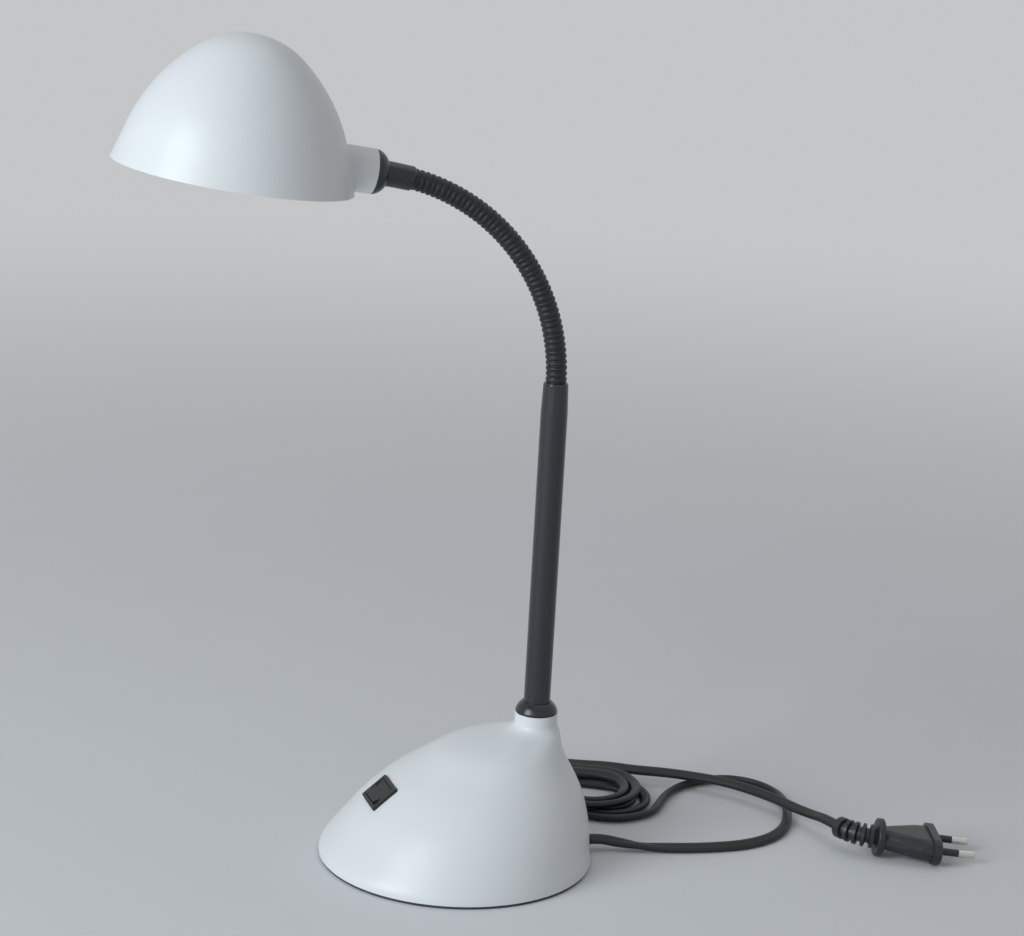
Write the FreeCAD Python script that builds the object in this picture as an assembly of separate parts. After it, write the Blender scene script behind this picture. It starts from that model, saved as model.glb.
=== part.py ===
import FreeCAD, Part
import math
import os

# Gooseneck desk lamp, in millimetres.
# +Z is up. The origin is the middle of the foot, on the table.
# The head reaches towards -X, and the cord leaves the base towards +X.
# The lamp is the same on both sides of the XZ plane, apart from its cord.

Vec = FreeCAD.Vector
X_AXIS = Vec(1, 0, 0)
Y_AXIS = Vec(0, 1, 0)
Z_AXIS = Vec(0, 0, 1)

# Foot, plate and ballast under the dome
base_radius = 70.0
foot_thick = 1.6
foot_inset = 0.8
plate_thick = 1.2
plate_play = 0.4
ballast_radius = base_radius - 17.0
ballast_high = 12.0
ballast_flat = base_radius - 32.5
bolt_radius = 3.0
bolt_head_radius = 5.5
bolt_head_high = 1.0
bolt_nut_flats = 10.0
bolt_nut_high = 5.0
hole_play = 0.2

# Dome of the base
dome_wall = 2.0
dome_high = 70.5
spout_radius = 11.0
spout_top = 76.3
spout_floor = 3.0
tube_x = 39.8

# The ridge in front of the spout and the back of the dome, from the foot up:
# share of the height, share of the way in from the front, share from the back.
dome_shape = (
    (0.000, 0.000, 0.000),
    (0.060, 0.009, 0.031),
    (0.148, 0.053, 0.052),
    (0.265, 0.121, 0.083),
    (0.382, 0.191, 0.161),
    (0.498, 0.278, 0.281),
    (0.614, 0.381, 0.469),
    (0.730, 0.514, 0.693),
    (0.818, 0.616, 0.839),
    (0.891, 0.770, 0.906),
    (0.938, 0.915, 0.922),
    (0.965, 0.980, 0.950),
    (1.000, 1.000, 1.000),
)

# Screws that hold the plate to the dome
boss_radius = 4.0
boss_ring = base_radius - 10.0
boss_count = 3
screw_radius = 1.6
screw_long = 11.0
screw_head_radius = 3.2
screw_head_high = 1.2

# Rocker switch on the front ridge
switch_height = 36.8
switch_slope = 40.0
bezel_long = 15.8
bezel_wide = 21.0
bezel_thick = 2.0
bezel_sunk = 0.9
switch_long = 13.0
switch_wide = 18.6
switch_deep = 12.0
switch_cavity_deep = 6.0
rocker_long = 11.2
rocker_wide = 15.6
rocker_play = 0.35
rocker_tilt = 7.5
rocker_rise = 1.3
rocker_deep = 4.2
trunnion_radius = 1.2
trunnion_long = 0.9
trunnion_play = 0.05
tab_wide = 4.8
tab_thick = 0.8
tab_long = 7.0
tab_gap = 9.0

# Straight tube, with the ring at its foot
tube_radius = 6.8
tube_bore = 5.05
tube_end_radius = 6.15
tube_taper_long = 15.0
neck_start_z = 250.0
ring_radius = 10.8
ring_top_radius = 7.5
ring_edge = 1.1
ring_high = 5.7
ring_floor = 1.2

# Threaded nipples with their washers and nuts
nipple_radius = 5.0
nipple_bore = 3.6
nipple_up = 15.0
nipple_down = 9.5
washer_radius = 8.3
washer_thick = 1.0
nut_flats = 14.0
nut_high = 4.0

# Flexible neck: a row of equal segments on one arc
neck_radius = 104.5
neck_angle = 76.0
segment_count = 16
ribs_each = 3
rib_radius = 5.35
root_radius = 4.75
segment_bore = 3.0
segment_gap = 0.89
rib_top_wide = 1.1
rib_foot_wide = 1.95

# Head end of the neck
head_tilt = 8.5
sleeve_radius = 6.05
sleeve_end_radius = 6.5
sleeve_straight = 9.4

# Shade: a dome on its own axis, open below
shade_radius = 58.0
shade_high = 66.8
shade_wall = 1.8
shade_lean = 17.3
shade_skirt = 18.2
shade_crown = 39.6
shade_level = 1.1
shade_spout_high = 12.1
shade_spout_out = 67.0
shade_spout_floor = 2.5
shade_fillet = 0.17 * (shade_spout_out - shade_radius)

# Lampholder and bulb, in line with the spout of the shade
holder_radius = 12.0
holder_start = 45.0
holder_long = 37.0
holder_neck_radius = 8.0
holder_neck_long = 6.0
holder_mouth_deep = 24.0
thread_radius = 7.1
thread_wall = 0.5
cap_radius = 6.85
cap_long = 19.0
cap_out = 2.0
tip_radius = 2.6
tip_long = 2.0
bulb_radius = 13.0
bulb_neck_radius = 8.4
bulb_long = 43.0
contact_wide = 5.0
contact_thick = 0.6

# Leads inside the lamp
lead_radius = 2.3
wire_radius = 1.0

# Terminal block on the ballast
block_long = 22.0
block_wide = 17.0
block_high = 13.0
block_x = 0.0
block_y = 24.0
block_screw_radius = 2.0
block_wire_bore = 2.7

# Cord and its bush
cord_radius = 2.5
cord_exit_y = -6.0
cord_exit_z = 6.2
bush_radius = 3.3
bush_flange_radius = 4.5
bush_flange_thick = 1.4
bush_inner_long = 3.6
clamp_long = 7.0
clamp_wide = 24.0
clamp_high = 3.0
clamp_screw_gap = 17.0
clamp_screw_radius = 1.5
clamp_x = base_radius - 11.0

# Hank of cord behind the base. hank_x is measured from the face of the bush.
hank_x = 23.7
hank_y = 62.4
hank_turn = -34.0
hank_run = 62.0
hank_outer = 31.5
hank_step = 6.4
hank_layer = 5.8
hank_turns_in = 2.25
hank_turns_out = 2.625
hank_drawn_in = 8.0
hank_lift = 1.0
hank_end_shifts = (7.0, 6.0, 5.0, -3.0, -3.0, -3.0)
tie_wide = 7.0
tie_thick = 0.8
tie_play = 0.25

# Flat two-pin plug. plug_x and boot_x are measured from the face of the bush.
plug_x = 179.9
plug_y = -46.2
plug_turn = -14.5
plug_dip = 5.5
plug_face_wide = 35.3
plug_thick = 13.7
plug_flange = 4.5
plug_body_long = 32.7
plug_collar_radius = 10.0
plug_collar_long = 3.6
plug_lip_thick = 4.4
plug_grip_front = 12.0
pin_radius = 2.0
pin_long = 19.0
pin_gap = 18.6
pin_sleeve_long = 10.0
pin_sleeve_radius = 1.95
boot_ribs = 5
boot_radius = 3.9
boot_rib_radius = 5.7
boot_rib_end_radius = 6.3
boot_x = 133.3
boot_y = -23.4
boot_z = 11.5

os.makedirs("parts", exist_ok=True)


def save(name, shape):
    """Write one node, after taking its single solid or its group of solids."""
    solids = shape.Solids
    result = solids[0] if len(solids) == 1 else Part.makeCompound(solids)
    assert result.isValid(), name
    result.exportStep("parts/" + name + ".step")
    print(name, "solids", len(solids), "volume", round(result.Volume, 1))


def circle_wire(centre, axis, radius, x_direction=Y_AXIS):
    """A circle whose start point always lies on the same side."""
    circle = Part.Circle(centre, axis, radius)
    edge = circle.toShape()
    start = edge.valueAt(edge.FirstParameter) - centre
    flat = x_direction - axis * (x_direction.dot(axis) / axis.dot(axis))
    turn = math.degrees(start.getAngle(flat))
    if start.cross(flat).dot(axis) < 0:
        turn = -turn
    edge.rotate(centre, axis, turn)
    return Part.Wire([edge])


def ring_solid(outer, inner, high, base, axis=Z_AXIS):
    """A plain tube or washer."""
    body = Part.makeCylinder(outer, high, base, axis)
    hole = Part.makeCylinder(inner, high + 2, base - axis * 1.0, axis)
    return body.cut(hole)


def hexagon(flats, high, base, axis=Z_AXIS, side=Y_AXIS):
    """A hexagonal prism."""
    corner = flats / math.sqrt(3)
    across = axis.cross(side)
    points = []
    for i in range(7):
        angle = math.radians(60 * i)
        points.append(base + side * (corner * math.cos(angle)) + across * (corner * math.sin(angle)))
    return Part.Face(Part.makePolygon(points)).extrude(axis * high)


def nut(flats, high, bore, base, axis=Z_AXIS):
    """A hexagon nut whose corners are turned off."""
    body = hexagon(flats, high, base, axis)
    corner = flats / math.sqrt(3)
    middle = base + axis * (high / 2)
    barrel = Part.makeSphere(math.hypot(corner, high / 2) * 0.965, middle)
    hole = Part.makeCylinder(bore, high + 2, base - axis * 1.0, axis)
    return body.common(barrel).cut(hole)


def revolve(points, base, axis, side):
    """Turn an outline of (distance out, distance along) pairs about an axis."""
    corners = [base + side * out + axis * along for out, along in points]
    wire = Part.makePolygon(corners + [corners[0]])
    return Part.Face(wire).revolve(base, axis, 360)


def rounded_box(long, wide, high, corner):
    """A block centred on the Z axis with rounded upright corners, its foot at zero."""
    box = Part.makeBox(long, wide, high, Vec(-long / 2, -wide / 2, 0))
    upright = []
    for edge in box.Edges:
        if abs(edge.tangentAt(edge.FirstParameter).z) > 0.9:
            upright.append(edge)
    return box.makeFillet(corner, upright)


def slot_wire(wide, thick, centre, across, up):
    """A flat outline with round ends, across by up, drawn about its centre."""
    half = wide / 2 - thick / 2
    r = thick / 2
    a = centre + across * half + up * r
    b = centre - across * half + up * r
    c = centre - across * half - up * r
    d = centre + across * half - up * r
    left = centre - across * (half + r)
    right = centre + across * (half + r)
    edges = [
        Part.LineSegment(a, b).toShape(),
        Part.Arc(b, left, c).toShape(),
        Part.LineSegment(c, d).toShape(),
        Part.Arc(d, right, a).toShape(),
    ]
    return Part.Wire(edges)


# Foot, plate, ballast and their screws

plate_bottom = foot_thick
plate_top = plate_bottom + plate_thick
ballast_top = plate_top + ballast_high


def boss_places():
    """Where the screws go: one in front, the others evenly round."""
    places = []
    for i in range(boss_count):
        angle = math.radians(180 + 360.0 * i / boss_count)
        places.append(Vec(boss_ring * math.cos(angle), boss_ring * math.sin(angle), 0))
    return places


def make_foot():
    """A disc of soft foam with holes for the screw heads and a recess over the bolt head."""
    disc = Part.makeCylinder(base_radius - foot_inset, foot_thick)
    for place in boss_places():
        hole = Part.makeCylinder(screw_head_radius + 0.8, foot_thick + 2, place - Z_AXIS)
        disc = disc.cut(hole)
    recess_foot = foot_thick - bolt_head_high - 0.1
    recess = Part.makeCylinder(bolt_head_radius + 0.8, foot_thick, Z_AXIS * recess_foot)
    return disc.cut(recess)


def make_plate():
    """The steel bottom, which lies inside the edge of the dome."""
    disc = Part.makeCylinder(base_radius - dome_wall - plate_play, plate_thick, Vec(0, 0, plate_bottom))
    for place in boss_places():
        below = place + Z_AXIS * (plate_bottom - 1)
        hole = Part.makeCylinder(screw_radius + hole_play, plate_thick + 2, below)
        disc = disc.cut(hole)
    centre = Part.makeCylinder(bolt_radius + hole_play, plate_thick + 2, Vec(0, 0, plate_bottom - 1))
    return disc.cut(centre)


def make_ballast():
    """An iron disc with a turned-down upper edge and a flat that lets the cord pass."""
    outline = [
        (bolt_radius + hole_play, 0),
        (ballast_radius, 0),
        (ballast_radius, ballast_high - 2),
        (ballast_radius - 2, ballast_high),
        (bolt_radius + hole_play, ballast_high),
    ]
    disc = revolve(outline, Vec(0, 0, plate_top), Z_AXIS, X_AXIS)
    return disc.cut(Part.makeBox(100, 200, 100, Vec(ballast_flat, -100, 0)))


def make_ballast_bolt():
    """A low-headed bolt through the plate and the ballast."""
    head = Part.makeCylinder(bolt_head_radius, bolt_head_high, Vec(0, 0, plate_bottom - bolt_head_high))
    shank_long = plate_thick + ballast_high + bolt_nut_high + 1.5
    shank = Part.makeCylinder(bolt_radius, shank_long, Vec(0, 0, plate_bottom))
    return head.fuse(shank).removeSplitter()


def make_base_screws():
    """One screw at each boss, heads sunk in the foot."""
    screws = []
    for place in boss_places():
        foot = place + Z_AXIS * plate_bottom
        head = Part.makeCylinder(screw_head_radius, screw_head_high, foot - Z_AXIS * screw_head_high)
        shank = Part.makeCylinder(screw_radius, screw_long - 2, foot)
        point = Part.makeCone(screw_radius, 0.3, 2, foot + Z_AXIS * (screw_long - 2))
        screws.append(head.fuse(shank).fuse(point).removeSplitter())
    return Part.makeCompound(screws)


# Dome of the base

bush_seat = base_radius - 1.0
bush_face = bush_seat + bush_flange_thick


def dome_loft(grow_in):
    """The dome as a stack of circles. grow_in moves every wall inwards."""
    wires = []
    low = foot_thick
    high = dome_high - grow_in
    for share, front, back in dome_shape:
        z = low + (high - low) * share
        front_x = -base_radius + front * (base_radius + tube_x - spout_radius)
        back_x = base_radius - back * (base_radius - tube_x - spout_radius)
        front_x += grow_in
        back_x -= grow_in
        radius = (back_x - front_x) / 2
        wires.append(circle_wire(Vec((back_x + front_x) / 2, 0, z), Z_AXIS, radius))
    return Part.makeLoft(wires, True, False)


switch_normal = Vec(-math.sin(math.radians(switch_slope)), 0, math.cos(math.radians(switch_slope)))


def ridge_x(z):
    """Where the front ridge of the dome stands at a height."""
    share = (z - foot_thick) / (dome_high - foot_thick)
    reach = base_radius + tube_x - spout_radius
    for lower, upper in zip(dome_shape, dome_shape[1:]):
        if share <= upper[0]:
            part = (share - lower[0]) / (upper[0] - lower[0])
            return -base_radius + reach * (lower[1] + part * (upper[1] - lower[1]))
    return -base_radius + reach


# The middle of the seat that the bezel lies on, a little under the ridge
switch_seat = Vec(ridge_x(switch_height), 0, switch_height) - switch_normal * bezel_sunk
switch_along = Vec(math.cos(math.radians(switch_slope)), 0, math.sin(math.radians(switch_slope)))


def to_switch(shape):
    """Put a piece drawn flat on the origin onto the sloping seat of the switch."""
    turned = shape.copy()
    turned.rotate(Vec(0, 0, 0), Y_AXIS, -switch_slope)
    turned.translate(switch_seat)
    return turned


def make_base_shell():
    """The white dome with its spout, screw bosses, switch seat and cord hole."""
    outer = dome_loft(0)
    spout = Part.makeCylinder(spout_radius, spout_top - dome_high, Vec(tube_x, 0, dome_high))
    outer = outer.fuse(spout)
    top_edge = [e for e in outer.Edges if e.BoundBox.ZMin > spout_top - 0.01]
    outer = outer.makeFillet(0.6, top_edge)

    inner = dome_loft(dome_wall)
    below = Part.makeBox(400, 400, foot_thick + 1, Vec(-200, -200, -1))
    inner = inner.fuse(Part.makeCylinder(base_radius - dome_wall, 1.0, Vec(0, 0, foot_thick - 1)))
    bore_foot = dome_high - dome_wall
    bore_top = spout_top - spout_floor
    bore = Part.makeCylinder(spout_radius - dome_wall, bore_top - bore_foot, Vec(tube_x, 0, bore_foot))
    shell = outer.cut(inner.fuse(bore))
    shell = shell.cut(Part.makeCylinder(nipple_radius + 0.1, spout_floor + 2, Vec(tube_x, 0, bore_top - 1)))

    for place in boss_places():
        post = Part.makeCylinder(boss_radius, dome_high, place + Z_AXIS * plate_top)
        post = post.common(outer)
        pilot = Part.makeCylinder(screw_radius + 0.05, screw_long + 1, place + Z_AXIS * (plate_top - 0.5))
        shell = shell.fuse(post).cut(pilot)

    pocket = rounded_box(bezel_long + 0.4, bezel_wide + 0.4, 12, 0.8)
    hole = rounded_box(switch_long + 0.4, switch_wide + 0.4, 20, 0.5)
    hole.translate(Vec(0, 0, -10))
    pad = rounded_box(bezel_long + 4, bezel_wide + 4, dome_wall, 1.5)
    pad.translate(Vec(0, 0, -dome_wall))
    shell = shell.fuse(to_switch(pad).common(outer))
    shell = shell.cut(to_switch(pocket)).cut(to_switch(hole))

    exit_point = Vec(bush_seat, cord_exit_y, cord_exit_z)
    cord_hole = Part.makeCylinder(bush_radius + 0.1, 20, exit_point - X_AXIS * 11, X_AXIS)
    cord_seat = Part.makeCylinder(bush_flange_radius + 0.1, 20, exit_point, X_AXIS)
    shell = shell.cut(cord_hole).cut(cord_seat)
    return shell.cut(below)


# Rocker switch, drawn flat and then laid on its seat

rocker_pivot_deep = 1.2


def make_switch_body():
    """The bezel and the box behind it, open in front for the rocker."""
    bezel = rounded_box(bezel_long, bezel_wide, bezel_thick, 0.8)
    rim = [e for e in bezel.Edges if e.BoundBox.ZMin > bezel_thick - 0.01]
    bezel = bezel.makeFillet(0.5, rim)
    box = rounded_box(switch_long, switch_wide, switch_deep, 0.5)
    box.translate(Vec(0, 0, -switch_deep))
    body = bezel.fuse(box)
    mouth_long = rocker_long + 2 * rocker_play
    mouth_wide = rocker_wide + 2 * rocker_play
    mouth = Part.makeBox(mouth_long, mouth_wide, bezel_thick + switch_cavity_deep + 1,
                         Vec(-mouth_long / 2, -mouth_wide / 2, -switch_cavity_deep))
    body = body.cut(mouth)
    pivot_z = bezel_thick - rocker_pivot_deep
    bearing_long = mouth_wide + 2 * trunnion_long
    bearing = Part.makeCylinder(trunnion_radius + trunnion_play, bearing_long,
                                Vec(0, -bearing_long / 2, pivot_z), Y_AXIS)
    return to_switch(body.cut(bearing).removeSplitter())


def make_switch_rocker():
    """The rocker: a shallow V on top, a rounded belly and two trunnions, resting on one side."""
    half = rocker_long / 2
    lift = half * math.tan(math.radians(rocker_tilt))
    middle = bezel_thick - rocker_pivot_deep + 0.7
    points = [
        Vec(-half, 0, middle + lift + rocker_rise * 0.3),
        Vec(0, 0, middle),
        Vec(half, 0, middle + lift + rocker_rise * 0.3),
        Vec(half, 0, middle - 1.4),
        Vec(half * 0.45, 0, -rocker_deep + 1.2),
        Vec(0, 0, -rocker_deep + 0.6),
        Vec(-half * 0.45, 0, -rocker_deep + 1.2),
        Vec(-half, 0, middle - 1.4),
    ]
    face = Part.Face(Part.makePolygon(points + [points[0]]))
    rocker = face.extrude(Y_AXIS * rocker_wide)
    rocker.translate(Vec(0, -rocker_wide / 2, 0))
    pivot_z = bezel_thick - rocker_pivot_deep
    pin_long_total = rocker_wide + 2 * (rocker_play + trunnion_long - 0.1)
    pins = Part.makeCylinder(trunnion_radius, pin_long_total, Vec(0, -pin_long_total / 2, pivot_z), Y_AXIS)
    rocker = rocker.fuse(pins).removeSplitter()
    ends = []
    for edge in rocker.Edges:
        box = edge.BoundBox
        if abs(abs(box.Center.x) - half) < 0.01 and box.XLength < 0.01 and box.YLength > 1:
            if box.Center.z > middle:
                ends.append(edge)
    rocker = rocker.makeFillet(0.4, ends)
    rocker.rotate(Vec(0, 0, pivot_z), Y_AXIS, rocker_tilt)
    return to_switch(rocker)


def make_switch_tabs():
    """Two flat terminals under the switch."""
    tabs = []
    for side in (-1, 1):
        tab = Part.makeBox(tab_thick, tab_wide, tab_long,
                           Vec(side * tab_gap / 2 - tab_thick / 2, -tab_wide / 2, -switch_deep - tab_long))
        eye = Part.makeCylinder(0.8, tab_thick + 2,
                                Vec(side * tab_gap / 2 - tab_thick, 0, -switch_deep - tab_long + 2.2), X_AXIS)
        tabs.append(to_switch(tab.cut(eye)))
    return Part.makeCompound(tabs)


# Ring, tube, nipple, washer and nut that stand on the base

ring_foot = spout_top
tube_foot = ring_foot + ring_floor


def bell_ring(foot, axis, side):
    """The black ring: a low bell with a thin upright edge, bored for tube and nipple."""
    outer = [foot + side * nipple_radius, foot + side * ring_radius]
    edge_top = foot + side * ring_radius + axis * ring_edge
    crown = foot + side * ring_top_radius + axis * ring_high
    shoulder_out = ring_top_radius + (ring_radius - ring_top_radius) * 0.62
    shoulder = foot + side * shoulder_out + axis * (ring_edge + (ring_high - ring_edge) * 0.56)
    inner_top = foot + side * nipple_radius + axis * ring_high
    edges = [
        Part.LineSegment(outer[0], outer[1]).toShape(),
        Part.LineSegment(outer[1], edge_top).toShape(),
        Part.Arc(edge_top, shoulder, crown).toShape(),
        Part.LineSegment(crown, inner_top).toShape(),
        Part.LineSegment(inner_top, outer[0]).toShape(),
    ]
    return Part.Face(Part.Wire(edges)).revolve(foot, axis, 360)


def make_lower_ring():
    """The ring between the spout and the tube."""
    foot = Vec(tube_x, 0, ring_foot)
    bell = bell_ring(foot, Z_AXIS, X_AXIS)
    seat = Part.makeCylinder(tube_radius + 0.05, ring_high, foot + Z_AXIS * ring_floor)
    hole = Part.makeCylinder(nipple_radius + 0.05, ring_high + 2, foot - Z_AXIS)
    return bell.cut(seat).cut(hole)


def make_tube():
    """The straight tube, drawn in a little where it grips the neck."""
    top = neck_start_z - segment_gap / 2
    long = top - tube_foot
    outline = [
        (tube_bore, 0),
        (tube_radius, 0),
        (tube_radius, long - tube_taper_long),
        (tube_end_radius + 0.15, long - 1.0),
        (tube_end_radius - 0.35, long),
        (tube_bore, long),
    ]
    return revolve(outline, Vec(tube_x, 0, tube_foot), Z_AXIS, X_AXIS)


bore_top_z = spout_top - spout_floor


def make_lower_nipple():
    """The threaded nipple that joins tube, ring and dome."""
    foot = Vec(tube_x, 0, bore_top_z - nipple_down)
    return ring_solid(nipple_radius, nipple_bore, tube_foot + nipple_up - foot.z, foot)


def make_lower_washer():
    """The washer under the floor of the spout."""
    foot = Vec(tube_x, 0, bore_top_z - washer_thick)
    return ring_solid(washer_radius, nipple_radius + 0.1, washer_thick, foot)


def make_lower_nut():
    """The nut that pulls the tube down."""
    foot = Vec(tube_x, 0, bore_top_z - washer_thick - nut_high)
    return nut(nut_flats, nut_high, nipple_radius, foot)


# Flexible neck on its arc

neck_centre = Vec(tube_x - neck_radius, 0, neck_start_z)
segment_angle = neck_angle / segment_count
rib_pitch = neck_radius * math.radians(segment_angle) / ribs_each


def neck_point(along):
    """Middle line of the neck, and of the sleeve that goes on from it, at a length from the tube."""
    bent = neck_radius * math.radians(90 - head_tilt)
    if along <= bent:
        angle = along / neck_radius
        return neck_centre + Vec(math.cos(angle), 0, math.sin(angle)) * neck_radius
    angle = math.radians(90 - head_tilt)
    end = neck_centre + Vec(math.cos(angle), 0, math.sin(angle)) * neck_radius
    return end + neck_direction(along) * (along - bent)


def neck_direction(along):
    """Which way the neck runs at a length from the tube."""
    angle = min(along / neck_radius, math.radians(90 - head_tilt))
    return Vec(-math.sin(angle), 0, math.cos(angle))


def neck_circle(along, radius):
    """A circle square across the neck."""
    return circle_wire(neck_point(along), neck_direction(along), radius)


def make_segment(index):
    """One segment of the neck: three ribs on a bored core, and the lead inside it."""
    start = index * ribs_each * rib_pitch
    outer = []
    for rib in range(ribs_each):
        middle = start + (rib + 0.5) * rib_pitch
        for offset, radius in ((-rib_foot_wide / 2, root_radius), (-rib_top_wide / 2, rib_radius),
                               (rib_top_wide / 2, rib_radius), (rib_foot_wide / 2, root_radius)):
            outer.append(neck_circle(middle + offset, radius))
    first = start + segment_gap / 2
    last = start + ribs_each * rib_pitch - segment_gap / 2
    outer[0] = neck_circle(first, root_radius)
    outer[-1] = neck_circle(last, root_radius)
    shell = Part.makeLoft(outer, True, True)
    bore_wires = [neck_circle(first - 1, segment_bore), neck_circle((first + last) / 2, segment_bore),
                  neck_circle(last + 1, segment_bore)]
    shell = shell.cut(Part.makeLoft(bore_wires, True, True))
    lead_wires = [neck_circle(first, lead_radius), neck_circle((first + last) / 2, lead_radius),
                  neck_circle(last, lead_radius)]
    lead = Part.makeLoft(lead_wires, True, True)
    return Part.makeCompound([shell, lead])


# Head: everything beyond the last segment lies along the spout of the shade

neck_long = neck_radius * math.radians(neck_angle)
bent_long = neck_radius * math.radians(90 - head_tilt)
collar_end = bent_long + sleeve_straight
head_out = neck_direction(collar_end)
head_up = Y_AXIS.cross(head_out)
spout_end = neck_point(collar_end)


def make_head_sleeve():
    """The smooth black end of the neck, widening towards the collar."""
    first = neck_long - segment_gap / 2
    last = collar_end - ring_floor
    bent = bent_long
    stations = [(first, sleeve_radius - 0.5), (first + 0.6, sleeve_radius), (bent, sleeve_radius + 0.1),
                (last, sleeve_end_radius)]
    body = Part.makeLoft([neck_circle(along, radius) for along, radius in stations], True, True)
    wires = [neck_circle(first - 1, segment_bore), neck_circle((first + bent) / 2, segment_bore),
             neck_circle(bent, segment_bore), neck_circle(last + 1, segment_bore)]
    body = body.cut(Part.makeLoft(wires, True, True))
    thread_hole = Part.makeCylinder(nipple_radius + 0.05, last - bent + 1, neck_point(bent), head_out)
    return body.cut(thread_hole)


def make_head_collar():
    """The same black ring as below, lying against the spout of the shade."""
    bell = bell_ring(spout_end, head_out * -1.0, head_up)
    seat = Part.makeCylinder(sleeve_end_radius + 0.05, ring_high, spout_end - head_out * ring_floor,
                             head_out * -1.0)
    hole = Part.makeCylinder(nipple_radius + 0.05, ring_high + 2, spout_end + head_out, head_out * -1.0)
    return bell.cut(seat).cut(hole)


# The foot of the axis of the shade, in the plane of its rim, which stands a little more level than the spout
rim_centre = spout_end + head_out * shade_spout_out - head_up * shade_spout_high
shade_out = FreeCAD.Rotation(Y_AXIS, -shade_level).multVec(head_out)
shade_up = Y_AXIS.cross(shade_out)


def shade_outline(grow_in):
    """Half of the dome: a leaning skirt, a wide shoulder and a rounder crown, closed on the axis."""
    lean = math.radians(shade_lean)
    rim = (shade_radius - grow_in / math.cos(lean), 0.0)
    skirt_end = (rim[0] - shade_skirt * math.sin(lean), shade_skirt * math.cos(lean))
    crown = shade_crown - grow_in
    high = shade_high - grow_in
    crown_centre = (0.0, high - crown)
    normal = (math.cos(lean), math.sin(lean))
    dx = skirt_end[0] - crown_centre[0]
    dz = skirt_end[1] - crown_centre[1]
    dot = dx * normal[0] + dz * normal[1]
    shoulder = (dx * dx + dz * dz - crown * crown) / (2 * (dot - crown))
    shoulder_centre = (skirt_end[0] - shoulder * normal[0], skirt_end[1] - shoulder * normal[1])
    gap = math.hypot(crown_centre[0] - shoulder_centre[0], crown_centre[1] - shoulder_centre[1])
    towards = ((crown_centre[0] - shoulder_centre[0]) / gap, (crown_centre[1] - shoulder_centre[1]) / gap)
    join = (crown_centre[0] + crown * towards[0], crown_centre[1] + crown * towards[1])
    shoulder_start = lean
    shoulder_stop = math.atan2(towards[1], towards[0])
    half = (shoulder_start + shoulder_stop) / 2
    shoulder_middle = (shoulder_centre[0] + shoulder * math.cos(half),
                       shoulder_centre[1] + shoulder * math.sin(half))
    half = (shoulder_stop + math.pi / 2) / 2
    crown_middle = (crown * math.cos(half), crown_centre[1] + crown * math.sin(half))
    return rim, skirt_end, shoulder_middle, join, crown_middle, (0.0, high)


def shade_point(pair):
    """From distance out and height above the rim to the lamp's frame, behind the axis."""
    return rim_centre - shade_out * pair[0] + shade_up * pair[1]


def shade_dome(grow_in, below=6.0):
    """The solid dome of the shade, with its skirt going on a little below the rim."""
    rim, skirt_end, shoulder_middle, join, crown_middle, top = shade_outline(grow_in)
    rim = (rim[0] + below * math.tan(math.radians(shade_lean)), -below)
    middle = shade_point((0, -below))
    corners = [shade_point(p) for p in (rim, skirt_end, shoulder_middle, join, crown_middle, top)]
    edges = [
        Part.LineSegment(middle, corners[0]).toShape(),
        Part.LineSegment(corners[0], corners[1]).toShape(),
        Part.Arc(corners[1], corners[2], corners[3]).toShape(),
        Part.Arc(corners[3], corners[4], corners[5]).toShape(),
        Part.LineSegment(corners[5], middle).toShape(),
    ]
    return Part.Face(Part.Wire(edges)).revolve(rim_centre, shade_up, 360)


def make_shade():
    """The white dome of the head with its spout."""
    spout_long = shade_spout_out - shade_radius * 0.5
    outer = shade_dome(0)
    spout = Part.makeCylinder(spout_radius, spout_long, spout_end, head_out)
    outer = outer.fuse(spout)
    crease = []
    for edge in outer.Edges:
        middle = edge.BoundBox.Center - spout_end
        out = middle.dot(head_out)
        if 2 < out < shade_radius * 0.45 and edge.BoundBox.DiagonalLength < 4 * spout_radius:
            crease.append(edge)
    outer = outer.makeFillet(shade_fillet, crease)
    end_edges = []
    for edge in outer.Edges:
        if abs((edge.BoundBox.Center - spout_end).dot(head_out)) < 0.01:
            end_edges.append(edge)
    outer = outer.makeFillet(0.5, end_edges)
    inner = shade_dome(shade_wall)
    skirt = Part.makeCylinder(2 * shade_radius, 20, rim_centre - shade_up * 20, shade_up)
    shell = outer.cut(inner).cut(skirt)
    bore_long = spout_long - shade_spout_floor
    bore = Part.makeCylinder(spout_radius - dome_wall, bore_long, spout_end + head_out * shade_spout_floor,
                             head_out)
    hole = Part.makeCylinder(nipple_radius + 0.1, shade_spout_floor + 2, spout_end - head_out, head_out)
    return shell.cut(bore).cut(hole)


holder_face = spout_end + head_out * (shade_spout_out - holder_start)


def make_head_nipple():
    """The long nipple from the sleeve to the lampholder."""
    first = neck_point(bent_long + 0.5)
    last = holder_face + head_out * (holder_neck_long - 1)
    return ring_solid(nipple_radius, nipple_bore, (last - first).Length, first, head_out)


def make_head_washer():
    """The washer inside the spout of the shade."""
    return ring_solid(washer_radius, nipple_radius + 0.1, washer_thick,
                      spout_end + head_out * shade_spout_floor, head_out)


def make_head_nut():
    """The nut inside the spout of the shade."""
    return nut(nut_flats, nut_high, nipple_radius, spout_end + head_out * (shade_spout_floor + washer_thick),
               head_out)


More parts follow.
